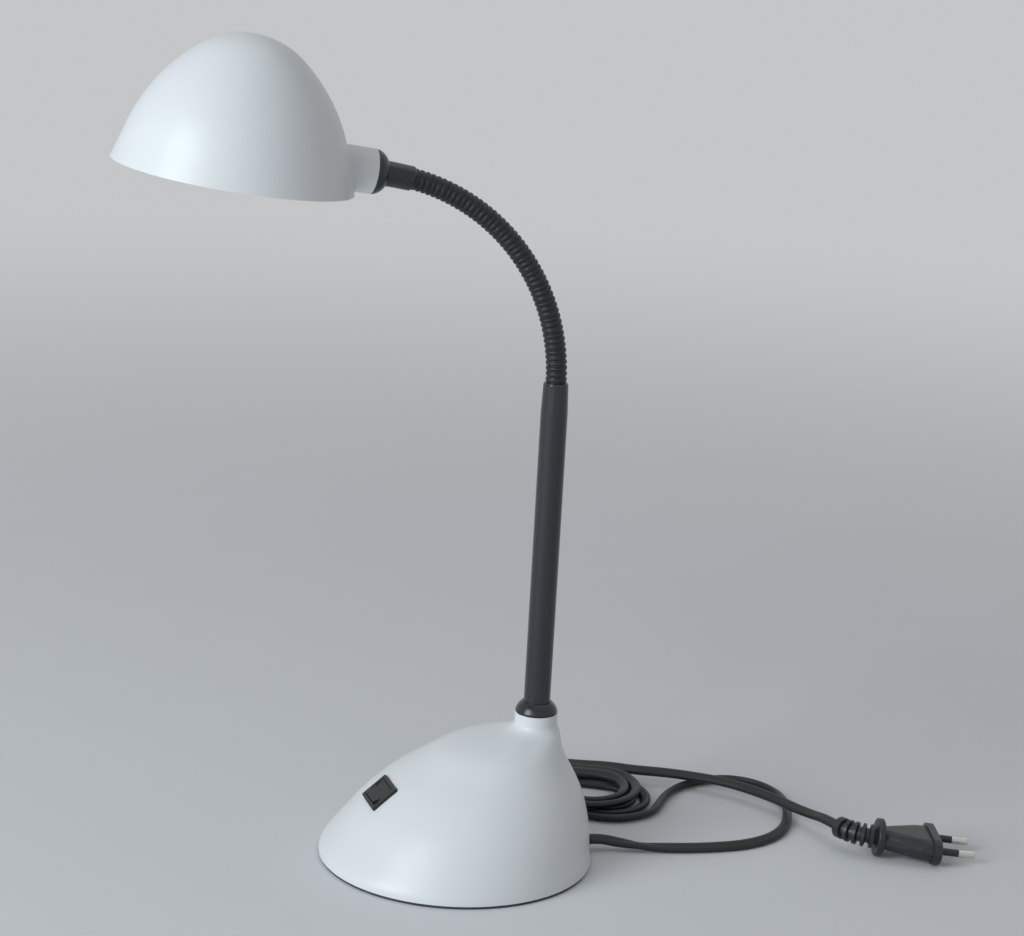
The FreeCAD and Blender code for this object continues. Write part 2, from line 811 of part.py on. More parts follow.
def make_holder_body():
    """The lampholder: a threaded neck, a round body and an open mouth."""
    outline = [
        (nipple_radius + 0.05, 0),
        (holder_neck_radius, 0),
        (holder_neck_radius, holder_neck_long - 2),
        (holder_radius - 1.5, holder_neck_long),
        (holder_radius, holder_neck_long + 1.5),
        (holder_radius, holder_long - 1),
        (holder_radius - 1, holder_long),
        (thread_radius + thread_wall + 0.05, holder_long),
        (thread_radius + thread_wall + 0.05, holder_long - holder_mouth_deep),
        (nipple_radius + 0.05, holder_long - holder_mouth_deep),
    ]
    return revolve(outline, holder_face, head_out, head_up)


mouth_floor = holder_face + head_out * (holder_long - holder_mouth_deep)


def make_holder_thread():
    """The metal screw shell in the mouth of the lampholder."""
    foot = mouth_floor + head_out * 3.0
    return ring_solid(thread_radius + thread_wall, thread_radius, holder_mouth_deep - 4.5, foot, head_out)


def make_holder_contact():
    """The spring tongue that touches the tip of the bulb."""
    reach = holder_mouth_deep - cap_long + cap_out - tip_long - contact_thick - 0.1
    bar = Part.makeBox(contact_wide, 2 * thread_radius - 1.2, contact_thick)
    bar.translate(Vec(-contact_wide / 2, -(thread_radius - 0.6), 0))
    post = Part.makeBox(contact_wide, 1.2, reach + contact_thick)
    post.translate(Vec(-contact_wide / 2, -(thread_radius - 0.6), 0))
    tongue = Part.makeBox(contact_wide, thread_radius + 2.0, contact_thick)
    tongue.translate(Vec(-contact_wide / 2, -(thread_radius - 0.6), reach))
    piece = bar.fuse(post).fuse(tongue).removeSplitter()
    turn = FreeCAD.Rotation(head_up, Y_AXIS * -1.0, head_out, "ZXY")
    piece.Placement = FreeCAD.Placement(mouth_floor, turn)
    return piece


cap_foot = holder_face + head_out * (holder_long + cap_out - cap_long)


def make_bulb_cap():
    """The screw cap of the bulb."""
    return ring_solid(cap_radius, cap_radius - 0.5, cap_long, cap_foot, head_out)


def make_bulb_tip():
    """The insulated contact that closes the cap."""
    disc = Part.makeCylinder(cap_radius - 0.55, 1.5, cap_foot + head_out * 0.1, head_out)
    tip_end = cap_foot - head_out * tip_long
    tip = Part.makeCone(tip_radius * 0.7, tip_radius, tip_long + 0.1, tip_end, head_out)
    return disc.fuse(tip).removeSplitter()


def make_bulb_glass():
    """The hollow glass: a narrow foot in the cap, a neck and a round ball."""
    neck_foot = cap_foot + head_out * (cap_long + 0.1)
    middle = neck_foot + head_out * (bulb_long - bulb_radius)
    walls = []
    for shrink in (0.0, 0.8):
        radius = bulb_radius - shrink
        neck = bulb_neck_radius - shrink
        foot = bulb_radius - bulb_long + shrink
        touch = -math.sqrt(radius * radius - neck * neck)
        outline = ((0, foot), (neck * 0.7, foot), (neck, foot + 6), (neck, touch), (radius, 0), (0, radius))
        points = [middle + head_up * out + head_out * along for out, along in outline]
        edges = [Part.LineSegment(points[i], points[i + 1]).toShape() for i in range(3)]
        edges.append(Part.Arc(points[3], points[4], points[5]).toShape())
        edges.append(Part.LineSegment(points[5], points[0]).toShape())
        walls.append(Part.Face(Part.Wire(edges)).revolve(middle, head_out, 360))
    return walls[0].cut(walls[1])


# Leads inside the lamp

def rounded_route(points):
    """Straight runs joined by tangent arcs, each arc as large as its two runs allow."""
    edges = []
    radii = []
    here = points[0]
    for i in range(1, len(points) - 1):
        before = points[i] - points[i - 1]
        after = points[i + 1] - points[i]
        turn = before.getAngle(after)
        cut_back = 0.45 * min(before.Length, after.Length)
        radius = cut_back / math.tan(turn / 2)
        radii.append(radius)
        enter = points[i] - before.normalize() * cut_back
        leave = points[i] + after.normalize() * cut_back
        bisector = (enter - points[i]) + (leave - points[i])
        to_centre = radius / math.cos(turn / 2)
        middle = points[i] + bisector.normalize() * (to_centre - radius)
        edges.append(Part.LineSegment(here, enter).toShape())
        edges.append(Part.Arc(enter, middle, leave).toShape())
        here = leave
    edges.append(Part.LineSegment(here, points[-1]).toShape())
    return Part.Wire(edges), radii


def swept(wire, radius):
    """A round tube along a route."""
    first = wire.Edges[0]
    start = first.valueAt(first.FirstParameter)
    direction = first.tangentAt(first.FirstParameter)
    profile = Part.Wire([Part.Circle(start, direction, radius).toShape()])
    shell = Part.BRepOffsetAPI.MakePipeShell(wire)
    shell.add(profile)
    shell.build()
    shell.makeSolid()
    return shell.shape()


def tube_along(name, points, radius):
    """A cord or lead, with its least radius, length and volume printed."""
    wire, radii = rounded_route(points)
    solid = swept(wire, radius)
    section = math.pi * radius * radius
    print(name, "length", round(wire.Length, 1), "least radius", round(min(radii), 1),
          "volume share", round(solid.Volume / (section * wire.Length), 4))
    return solid


block_foot = ballast_top
block_middle_z = block_foot + block_high * 0.42


def make_terminal_block():
    """A small block with two wire bores and two screw wells."""
    block = rounded_box(block_long, block_wide, block_high, 1.5)
    block.translate(Vec(block_x, block_y, block_foot))
    for side in (-1, 1):
        y = block_y + side * block_wide / 4
        bore = Part.makeCylinder(block_wire_bore, block_long + 2,
                                 Vec(block_x - block_long / 2 - 1, y, block_middle_z), X_AXIS)
        well = Part.makeCylinder(block_screw_radius + 0.1, block_high, Vec(block_x, y, block_middle_z))
        block = block.cut(bore).cut(well)
    return block


def make_block_screws():
    """The two clamping screws of the block."""
    screws = []
    for side in (-1, 1):
        foot = Vec(block_x, block_y + side * block_wide / 4, block_middle_z - 0.4)
        screw = Part.makeCylinder(block_screw_radius, block_high * 0.5, foot)
        slot = Part.makeBox(2 * block_screw_radius + 1, 0.7, 0.8,
                            foot + Vec(-block_screw_radius - 0.5, -0.35, block_high * 0.5 - 0.8))
        screws.append(screw.cut(slot))
    return Part.makeCompound(screws)


def make_inner_lead():
    """The lead from the block up through nut, nipple and tube to the neck."""
    start = Vec(block_x + 4.5, block_y + block_wide / 4, block_middle_z)
    points = [
        start,
        start + Vec(16, 0, 0),
        Vec(tube_x - 4, block_y * 0.5, block_middle_z + 10),
        Vec(tube_x, 0, block_middle_z + 28),
        Vec(tube_x, 0, neck_start_z - segment_gap / 2),
    ]
    return tube_along("inner_lead", points, lead_radius)


def make_head_lead():
    """The lead from the last segment to the lampholder."""
    first = neck_long - segment_gap / 2
    wires = [neck_circle(first, lead_radius), neck_circle((first + bent_long) / 2, lead_radius),
             neck_circle(bent_long, lead_radius)]
    bend = Part.makeLoft(wires, True, True)
    last = mouth_floor - head_out * 0.3
    start = neck_point(bent_long)
    straight = Part.makeCylinder(lead_radius, (last - start).Length, start, head_out)
    return bend.fuse(straight)


def make_switch_wires():
    """Two wires from the switch down to the block."""
    wires = []
    for side in (-1, 1):
        tab_end = Vec(side * tab_gap / 2, 0, -switch_deep - tab_long - 0.1)
        start = FreeCAD.Rotation(Y_AXIS, -switch_slope).multVec(tab_end) + switch_seat
        down = switch_normal * -1.0
        drop = min(5.0, (start.z - ballast_top - 2 * wire_radius) / abs(down.z))
        corner = start + down * drop
        end = Vec(block_x - 4.5, block_y + side * block_wide / 4, block_middle_z)
        points = [start, corner, end - Vec(12, 0, 0), end]
        wires.append(tube_along("switch_wire", points, wire_radius))
    return Part.makeCompound(wires)


# Cord: bush, clamp, tail inside, free stretches, hank and tie


def make_cord_bush():
    """The soft bush that the cord comes out of."""
    flange_foot = Vec(bush_seat, cord_exit_y, cord_exit_z)
    outline = [
        (cord_radius + 0.05, bush_flange_thick),
        (bush_flange_radius - 0.7, bush_flange_thick),
        (bush_flange_radius, bush_flange_thick - 0.6),
        (bush_flange_radius, 0),
        (bush_radius, 0),
        (bush_radius, -dome_wall - 0.6),
        (bush_radius, -dome_wall - bush_inner_long),
        (cord_radius + 0.05, -dome_wall - bush_inner_long),
    ]
    return revolve(outline, flange_foot, X_AXIS, Y_AXIS)


def tail_points():
    """The way of the cord inside the base, from the bush over the ballast to the block."""
    end = Vec(block_x + 4.5, block_y - block_wide / 4, block_middle_z)
    return [
        Vec(bush_face, cord_exit_y, cord_exit_z),
        Vec(clamp_x - clamp_long / 2 - 1.0, cord_exit_y, cord_exit_z),
        Vec(ballast_flat - 2.0, cord_exit_y + 2.5, block_middle_z),
        end + Vec(17, 0, 0),
        end,
    ]


def make_cord_clamp():
    """The bar that presses the cord onto the plate, with a groove that follows the cord."""
    bar_foot = cord_exit_z + cord_radius * 0.2
    bar = rounded_box(clamp_long, clamp_wide, clamp_high + 1.5, 1.2)
    bar.translate(Vec(clamp_x, cord_exit_y, bar_foot))
    groove_route, radii = rounded_route(tail_points())
    bar = bar.cut(swept(groove_route, cord_radius + 0.05))
    for side in (-1, 1):
        y = cord_exit_y + side * clamp_screw_gap / 2
        post = Part.makeCylinder(2.8, bar_foot - plate_top + 0.5, Vec(clamp_x, y, plate_top))
        bar = bar.fuse(post)
        bar = bar.cut(Part.makeCylinder(clamp_screw_radius + 0.1, 30, Vec(clamp_x, y, plate_top - 1)))
    return bar


def make_clamp_screws():
    """The two screws of the clamp."""
    top = cord_exit_z + cord_radius * 0.2 + clamp_high + 1.5
    screws = []
    for side in (-1, 1):
        foot = Vec(clamp_x, cord_exit_y + side * clamp_screw_gap / 2, plate_top + 0.2)
        shank = Part.makeCylinder(clamp_screw_radius, top - foot.z, foot)
        head = Part.makeCylinder(2.6, 1.6, Vec(foot.x, foot.y, top))
        screws.append(shank.fuse(head).removeSplitter())
    return Part.makeCompound(screws)


def make_cord_tail():
    """The end of the cord inside the base."""
    return tube_along("cord_tail", tail_points(), cord_radius)


def biarc(start, start_way, end, end_way):
    """Two arcs that join two points smoothly, leaving and arriving in given directions."""
    chord = end - start
    both = start_way + end_way
    lead = chord.dot(both)
    spread = 2 * (1 - start_way.dot(end_way))
    if spread > 1e-9:
        reach = (-lead + math.sqrt(lead * lead + spread * chord.dot(chord))) / spread
    else:
        reach = chord.dot(chord) / (4 * chord.dot(start_way))
    joint = (start + start_way * reach + end - end_way * reach) * 0.5
    edges = []
    for first, second, way in ((start, joint, start_way), (joint, end, None)):
        line = second - first
        if way is None:
            lean = line.getAngle(end_way)
            ahead = (line * (1 / line.Length)) * (2 * math.cos(lean)) - end_way
        else:
            ahead = way
        lean = line.getAngle(ahead)
        if lean < 1e-6:
            edges.append(Part.LineSegment(first, second).toShape())
            continue
        half_way = (line * (1 / line.Length)) + ahead
        middle = first + half_way.normalize() * (line.Length / (2 * math.cos(lean / 2)))
        edges.append(Part.Arc(first, middle, second).toShape())
    return edges


hank_along = Vec(math.cos(math.radians(hank_turn)), math.sin(math.radians(hank_turn)), 0)
hank_across = Z_AXIS.cross(hank_along)
hank_right = Vec(bush_face + hank_x, hank_y, 0)
hank_middle = hank_right - hank_along * (hank_run / 2)
cord_low = cord_radius + 0.1


def hank_place(along, across, z):
    """A point of the hank: along its runs, across them, and up."""
    return hank_middle + hank_along * along + hank_across * across + Z_AXIS * z


def hank_offset(turns):
    """How far out the loops lie after so many turns: in on the first layer, out on the second."""
    inmost = hank_outer - hank_step * hank_turns_in
    if turns <= hank_turns_in:
        return hank_outer - hank_step * turns
    return inmost + hank_step * (turns - hank_turns_in)


def hank_level(turns):
    """Height of the loops: they climb once, along the run at which the spiral turns."""
    share = (turns - hank_turns_in) / 0.25 + 0.5
    return cord_low + hank_layer * min(1.0, max(0.0, share))


def hank_stations():
    """Where the cord lies at each eighth of a turn, with its direction there."""
    total = int(round((hank_turns_in + hank_turns_out) * 8))
    stations = []
    for step in range(total + 1):
        turns = step / 8
        out = hank_offset(turns)
        z = hank_level(turns)
        waist = out - hank_drawn_in
        left = -hank_run / 2
        right = hank_run / 2 + hank_end_shifts[int(round(turns))]
        place = step % 8
        if place == 0:
            stations.append((hank_place(right + out, 0, z), hank_across * -1.0))
        elif place == 1:
            stations.append((hank_place(right, -out, z), hank_along * -1.0))
        elif place == 2:
            stations.append((hank_place(0, -waist, z + hank_lift), hank_along * -1.0))
        elif place == 3:
            stations.append((hank_place(left, -out, z), hank_along * -1.0))
        elif place == 4:
            stations.append((hank_place(left - out, 0, z), hank_across))
        elif place == 5:
            stations.append((hank_place(left, out, z), hank_along))
        elif place == 6:
            stations.append((hank_place(0, waist, z + hank_lift), hank_along))
        else:
            stations.append((hank_place(right, out, z), hank_along))
    return stations


def least_gap(edges, radius):
    """The least space between the tube and itself, measured on points along it."""
    points = []
    run = 0.0
    for edge in edges:
        count = max(2, int(edge.Length / 3))
        for i in range(count):
            place = edge.FirstParameter + (edge.LastParameter - edge.FirstParameter) * i / count
            points.append((run + edge.Length * i / count, edge.valueAt(place)))
        run += edge.Length
    least = 1e9
    for i, (first_run, first) in enumerate(points):
        for second_run, second in points[i + 1:]:
            if second_run - first_run > 12 * radius:
                least = min(least, (second - first).Length)
    return least - 2 * radius


stations = hank_stations()
hank_start = stations[0][0] - stations[0][1] * (2 * cord_radius)
hank_end = stations[-1][0] + stations[-1][1] * (2 * cord_radius)


def make_cord_hank():
    """The loops of the hank: one unbroken tube in two layers."""
    edges = [Part.LineSegment(hank_start, stations[0][0]).toShape()]
    for first, second in zip(stations, stations[1:]):
        edges += biarc(first[0], first[1], second[0], second[1])
    edges.append(Part.LineSegment(stations[-1][0], hank_end).toShape())
    wire = Part.Wire(edges)
    print("cord_hank length", round(wire.Length, 1), "least gap", round(least_gap(edges, cord_radius), 2))
    solid = swept(wire, cord_radius)
    section = math.pi * cord_radius * cord_radius
    print("cord_hank volume share", round(solid.Volume / (section * wire.Length), 4))
    return solid


def past_bush(x, y, z):
    """A point at a distance from the face of the bush, which the cord leaves by."""
    return Vec(bush_face + x, y, z)


def make_cord_from_base():
    """The free cord from the bush round its wide loop to the hank."""
    z = cord_low
    points = [
        past_bush(0, cord_exit_y, cord_exit_z),
        past_bush(6, cord_exit_y, cord_exit_z),
        past_bush(15, -8.0, 4.4),
        past_bush(29.6, -13.0, z),
        past_bush(47.6, -17.5, z),
        past_bush(65.6, -19.5, z),
        past_bush(83.6, -19.0, z),
        past_bush(100.6, -12.5, z),
        past_bush(113.6, 0.0, z),
        past_bush(122.1, 16.5, z),
        past_bush(128.1, 34.0, z),
        past_bush(129.1, 52.0, z),
        past_bush(120.6, 68.0, z),
        past_bush(105.6, 75.5, z),
        past_bush(89.6, 72.0, z),
        past_bush(77.1, 66.5, z),
        hank_start + hank_across * 15,
        hank_start,
    ]
    return tube_along("cord_from_base", points, cord_radius)


def make_cord_to_plug():
    """The free cord from the top of the hank over the loop to the plug."""
    start = past_bush(boot_x, boot_y, boot_z)
    points = [
        hank_end,
        hank_end + hank_along * 13,
        past_bush(72.6, 75.5, 7.8),
        past_bush(86.6, 67.0, 7.9),
        past_bush(99.6, 56.0, 8.4),
        past_bush(110.6, 42.0, 8.2),
        past_bush(118.6, 26.5, 8.4),
        past_bush(124.1, 12.0, 8.5),
        past_bush(128.6, -1.0, 9.2),
        start - boot_way() * 11,
        start,
    ]
    return tube_along("cord_to_plug", points, cord_radius)


def make_cord_tie():
    """The flat band round the waist of the hank, open inside."""
    front = hank_offset(hank_turns_in + hank_turns_out - 0.625) - hank_drawn_in
    back = hank_offset(hank_turns_in + hank_turns_out - 0.125) - hank_drawn_in
    inner_high = hank_layer + 2 * cord_radius + 2 * tie_play
    middle = hank_place(-tie_wide / 2, (back - front) / 2, cord_low + hank_lift + hank_layer / 2)
    inner_wide = back + front + inner_high
    outer = slot_wire(inner_wide + 2 * tie_thick, inner_high + 2 * tie_thick, middle, hank_across, Z_AXIS)
    inner = slot_wire(inner_wide, inner_high, middle - hank_along, hank_across, Z_AXIS)
    band = Part.Face(outer).extrude(hank_along * tie_wide)
    return band.cut(Part.Face(inner).extrude(hank_along * (tie_wide + 2)))


# Flat two-pin plug with its ribbed boot

plug_lean = math.radians(plug_dip)
plug_head = math.radians(plug_turn)
plug_way = Vec(math.cos(plug_head) * math.cos(plug_lean), math.sin(plug_head) * math.cos(plug_lean),
               -math.sin(plug_lean))
plug_side = Vec(-math.sin(plug_head), math.cos(plug_head), 0)
plug_up = plug_way.cross(plug_side)
plug_face = past_bush(plug_x, plug_y, plug_thick / 2 * math.cos(plug_lean) + 0.4)
plug_rear = plug_face - plug_way * plug_body_long


def boot_arc():
    """The bent middle line of the boot, from its cord end to the back of the plug, and its first way."""
    start = past_bush(boot_x, boot_y, boot_z)
    line = plug_rear - start
    lean = line.getAngle(plug_way)
    ahead = line * (2 * math.cos(lean) / line.Length) - plug_way
    half_way = line * (1 / line.Length) + ahead
    middle = start + half_way.normalize() * (line.Length / (2 * math.cos(lean / 2)))
    return Part.Arc(start, middle, plug_rear).toShape(), ahead


def boot_way():
    """Which way the cord runs where it enters the boot."""
    return boot_arc()[1].normalize()


def make_plug_boot():
    """The soft sleeve behind the plug: a collar for the cord and ribs that grow towards the plug."""
    arc = boot_arc()[0]
    wires = []
    first = arc.FirstParameter
    span = arc.LastParameter - first

    def ring(share, radius):
        place = first + span * share
        return circle_wire(arc.valueAt(place), arc.tangentAt(place), radius, Z_AXIS)

    wires.append(ring(0.0, boot_radius - 0.5))
    for rib in range(boot_ribs):
        crest = boot_rib_radius + (boot_rib_end_radius - boot_rib_radius) * rib / (boot_ribs - 1)
        start = (rib + 0.5) / (boot_ribs + 0.5)
        back = 0.40 if rib == 0 else 0.0
        wires.append(ring(start + (0.10 - back) / (boot_ribs + 0.5), boot_radius))
        wires.append(ring(start + (0.24 - back) / (boot_ribs + 0.5), crest))
        wires.append(ring(start + 0.60 / (boot_ribs + 0.5), crest))
        wires.append(ring(start + 0.74 / (boot_ribs + 0.5), boot_radius))
    wires.append(ring(1.0, boot_radius))
    boot = Part.makeLoft(wires, True, True)
    print("plug_boot length", round(arc.Length, 1))
    return boot


def plug_section(back, wide, thick):
    """A flat outline with round ends across the plug, at a distance behind its face."""
    return slot_wire(wide, thick, plug_face - plug_way * back, plug_side, plug_up)


def plug_grip(side, level):
    """What a sloping finger grip takes off one shoulder of the plug: all beyond a plane through three points."""
    across = plug_side * side
    rise = plug_up * level
    rear = plug_face - plug_way * (plug_body_long - plug_collar_long)
    high = rear + across * 4.0 + rise * (plug_thick / 2 - 1.4)
    low = rear + across * 10.2 - rise * 1.0
    front = plug_face - plug_way * plug_grip_front + across * 13.8 + rise * 1.5
    along = (front - high).normalize()
    normal = along.cross(low - high).normalize()
    if normal.dot(across) < 0:
        normal = normal * -1.0
    down = normal.cross(along) * 30
    reach = along * 40
    corners = [high - reach - down, high + reach - down, high + reach + down, high - reach + down]
    face = Part.Face(Part.makePolygon(corners + corners[:1]))
    return face.extrude(normal * 20)


def make_plug_body():
    """The moulded plug: front flange, narrowing body with a lip and sloping grips, and a round collar."""
    flange = Part.makeLoft([plug_section(0, plug_face_wide - 1.2, plug_thick - 1.2),
                            plug_section(0.6, plug_face_wide, plug_thick),
                            plug_section(plug_flange, plug_face_wide, plug_thick)], True, True)
    collar_front = plug_body_long - plug_collar_long
    body = Part.makeLoft([plug_section(plug_flange - 0.2, plug_face_wide - 5, plug_thick - 2.4),
                          plug_section(plug_flange + 6, plug_face_wide - 6.5, plug_thick - 2.4),
                          plug_section(collar_front + 0.5, plug_face_wide - 22, plug_thick - 2.8)], True, True)
    lip = Part.makeLoft([plug_section(plug_flange - 0.2, plug_face_wide - 4, plug_lip_thick),
                         plug_section(collar_front + 0.5, plug_face_wide - 14, plug_lip_thick)], True, True)
    rear = Part.makeCylinder(plug_collar_radius, plug_collar_long, plug_rear, plug_way)
    rims = [e for e in rear.Edges if e.BoundBox.DiagonalLength > 2 * plug_collar_radius]
    rear = rear.makeFillet(0.8, rims)
    body = body.fuse(lip)
    for side in (-1, 1):
        for level in (-1, 1):
            body = body.cut(plug_grip(side, level))
    plug = flange.fuse(body).fuse(rear)
    for side in (-1, 1):
        hole = Part.makeCylinder(pin_radius, 12, plug_face + plug_side * (side * pin_gap / 2) - plug_way * 11,
                                 plug_way)
        plug = plug.cut(hole)
    return plug


def make_plug_pins():
    """The two round pins with rounded tips, set in the body."""
    pins = []
    for side in (-1, 1):
        face = plug_face + plug_side * (side * pin_gap / 2)
        foot = face - plug_way * 10.8
        pin = Part.makeCylinder(pin_radius, 10.8 + pin_long, foot, plug_way)
        tip = []
        for edge in pin.Edges:
            closed = edge.BoundBox.DiagonalLength > 2 * pin_radius and edge.BoundBox.DiagonalLength < 10
            if closed and (edge.BoundBox.Center - foot).dot(plug_way) > 10 + pin_long - 1:
                tip.append(edge)
        pin = pin.makeFillet(pin_radius * 0.6, tip)
        groove = ring_solid(pin_radius + 1, pin_sleeve_radius - 0.35, pin_sleeve_long, face, plug_way)
        pins.append(pin.cut(groove))
    return Part.makeCompound(pins)


def make_pin_sleeves():
    """The black insulation on the inner half of each pin."""
    sleeves = []
    for side in (-1, 1):
        foot = plug_face + plug_side * (side * pin_gap / 2)
        inner = pin_sleeve_radius - 0.35
        sleeves.append(ring_solid(pin_sleeve_radius, inner, pin_sleeve_long, foot, plug_way))
    return Part.makeCompound(sleeves)


save("foot_pad", make_foot())
save("base_plate", make_plate())
save("ballast", make_ballast())
save("ballast_bolt", make_ballast_bolt())
save("ballast_nut", nut(bolt_nut_flats, bolt_nut_high, bolt_radius, Vec(0, 0, ballast_top)))
save("base_screws", make_base_screws())
save("base_shell", make_base_shell())
save("switch_body", make_switch_body())
save("switch_rocker", make_switch_rocker())
save("switch_tabs", make_switch_tabs())
save("lower_ring", make_lower_ring())
save("neck_tube", make_tube())
save("lower_nipple", make_lower_nipple())
save("lower_washer", make_lower_washer())
save("lower_nut", make_lower_nut())
for number in range(segment_count):
    save("neck_segment_%02d" % (number + 1), make_segment(number))
save("head_sleeve", make_head_sleeve())
save("head_collar", make_head_collar())
save("head_nipple", make_head_nipple())
save("head_washer", make_head_washer())
save("head_nut", make_head_nut())
save("shade", make_shade())
save("lampholder", make_holder_body())
save("lampholder_thread", make_holder_thread())
save("lampholder_contact", make_holder_contact())
save("bulb_cap", make_bulb_cap())
save("bulb_tip", make_bulb_tip())
save("bulb_glass", make_bulb_glass())
save("terminal_block", make_terminal_block())
save("terminal_screws", make_block_screws())
save("inner_lead", make_inner_lead())
save("head_lead", make_head_lead())
save("switch_wires", make_switch_wires())
save("cord_bush", make_cord_bush())
save("cord_clamp", make_cord_clamp())
save("clamp_screws", make_clamp_screws())
save("cord_tail", make_cord_tail())
save("cord_hank", make_cord_hank())
save("cord_from_base", make_cord_from_base())
save("cord_to_plug", make_cord_to_plug())
save("cord_tie", make_cord_tie())
save("plug_boot", make_plug_boot())
save("plug_body", make_plug_body())
save("plug_pins", make_plug_pins())
save("pin_sleeves", make_pin_sleeves())
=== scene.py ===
# %% [markdown]
# # A small gooseneck desk lamp
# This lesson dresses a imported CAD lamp. The CAD gives every piece its place and size,
# in metres, with the table at height zero. The cells below keep the solids whose shape
# is already right, replace those that need finer detail, and give each one a finish
# made from nodes only.

import math

import bpy
from mathutils import Matrix, Vector


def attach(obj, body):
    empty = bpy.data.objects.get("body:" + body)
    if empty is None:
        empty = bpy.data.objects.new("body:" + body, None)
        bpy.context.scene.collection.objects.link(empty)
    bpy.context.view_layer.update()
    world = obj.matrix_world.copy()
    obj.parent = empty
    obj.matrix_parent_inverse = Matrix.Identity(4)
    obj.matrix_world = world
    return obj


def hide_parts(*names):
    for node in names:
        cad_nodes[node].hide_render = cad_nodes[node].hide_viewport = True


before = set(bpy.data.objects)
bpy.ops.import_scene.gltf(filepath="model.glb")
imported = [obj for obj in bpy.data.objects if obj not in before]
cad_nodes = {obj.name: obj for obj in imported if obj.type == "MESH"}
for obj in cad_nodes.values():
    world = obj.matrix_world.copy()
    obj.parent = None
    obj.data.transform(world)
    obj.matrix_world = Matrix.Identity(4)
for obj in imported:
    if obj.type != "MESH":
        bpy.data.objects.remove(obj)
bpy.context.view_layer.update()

# %% [markdown]
# The photograph was taken from in front and a little to the left, from above the shade's
# rim, and the camera leaned slightly. A camera can be aimed with a tracking constraint,
# but here its three directions are worked out from two angles and a roll, so that the
# lamp keeps exactly the lean it has in the picture.

# %% Camera
MM = 0.001
camera_place = Vector((-404.5, -1304.5, 569.2)) * MM
camera_heading = math.radians(18.0)
camera_height_angle = math.radians(14.832)
camera_roll = math.radians(3.225)
camera_lens = 99.98

away = Vector((
    -math.sin(camera_heading) * math.cos(camera_height_angle),
    -math.cos(camera_heading) * math.cos(camera_height_angle),
    math.sin(camera_height_angle),
))
level = Vector((math.cos(camera_heading), -math.sin(camera_heading), 0.0))
upright = away.cross(level)
camera_right = level * math.cos(camera_roll) + upright * math.sin(camera_roll)
camera_up = upright * math.cos(camera_roll) - level * math.sin(camera_roll)

camera_data = bpy.data.cameras.new("camera")
camera_data.lens = camera_lens
camera_data.sensor_width = 36.0
camera_data.clip_end = 50.0
camera = bpy.data.objects.new("camera", camera_data)
bpy.context.scene.collection.objects.link(camera)
turn = Matrix((camera_right, camera_up, away)).transposed().to_4x4()
camera.matrix_world = Matrix.Translation(camera_place) @ turn
bpy.context.scene.camera = camera
print("camera stands", round(camera_place.length, 2), "m from the foot")

# %% [markdown]
# The cord comes next. A cord can be a bevelled curve, but this one is a flat twin flex:
# two round cores side by side with a groove between them. So a smooth spline gives the
# middle line, and a small two-lobed outline is carried along it. The outline can then lean
# as the real flex does.

# %% Route of the free cord, from the bush to the hank
flex_wide = 0.0056
flex_thick = 0.0035
cord_low = 2.55

bush_face = (70.4, -6.0, 6.2)
route_from_base = [
    bush_face, (76.4, -6.0, 6.2), (85.4, -8.0, 4.4), (100, -13.0, cord_low), (118, -17.5, cord_low),
    (136, -19.5, cord_low), (154, -19, cord_low), (171, -12.5, cord_low), (184, 0, cord_low),
    (192.5, 16.5, cord_low), (198.5, 34, cord_low), (199.5, 52, cord_low), (191, 68, cord_low),
    (176, 75.5, cord_low), (160, 72, cord_low), (147.5, 66.5, cord_low),
]
print("points from the base to the hank:", len(route_from_base))

# %% [markdown]
# Most of the cord is put away behind the base as a hank: long loops that spiral in on
# the table, climb once, and spiral out on top. The loops are more points of the same
# spline. At each end four points stand round a half circle, a little outside it, so that
# the spline between them is round.

# %% Loops of the hank
hank_right = Vector((94.1, 62.4, 0))
hank_turn = math.radians(-34.0)
half_run = 31.0
hank_outer = 31.5
hank_step = 6.4
turns_in = 2.25
turns_out = 2.625
layer_rise = 5.2
waist_lift = 1.0
climb_turns = 0.25
end_shifts = (7.0, 6.0, 5.0, -3.0, -3.0, -3.0)

hank_along = Vector((math.cos(hank_turn), math.sin(hank_turn), 0))
hank_across = Vector((-math.sin(hank_turn), math.cos(hank_turn), 0))
hank_middle = hank_right - hank_along * half_run


def loop_reach(turns):
    """Half the width of the loop after so many turns: it shrinks, then grows again."""
    inmost = hank_outer - hank_step * turns_in
    return inmost + hank_step * abs(turns - turns_in)


def loop_level(turns):
    """Height of the loop: one climb, along the run where the spiral turns."""
    share = (turns - turns_in) / climb_turns + 0.5
    return cord_low + layer_rise * min(1.0, max(0.0, share))


def hank_point(along, across, height):
    """A point of the hank, along its runs and across them."""
    place = hank_middle + hank_along * along + hank_across * across
    return (place.x, place.y, height)


winding = turns_in + turns_out
print("turns of the hank:", winding)

# %% [markdown]
# One loop is fourteen points, each at its share of a turn. A circle or an ellipse would be
# shorter to write, but a hank has straight runs, drawn together at its waist by the strap.
# So eight points stand round the two ends and six lie along the two runs.

# %% Points of one loop
end_points = ((0.031, -22.5), (0.094, -67.5), (0.406, -112.5), (0.469, -157.5),
              (0.531, 157.5), (0.594, 112.5), (0.906, 67.5), (0.969, 22.5))
run_points = ((0.188, 15.5, 4.6), (0.25, 0.0, 9.1), (0.312, -15.5, 4.6),
              (0.688, -15.5, 4.6), (0.75, 0.0, 9.1), (0.812, 15.5, 4.6))
end_spacing = 45.0
corner_reach = 1 / math.cos(math.radians(end_spacing / 2))


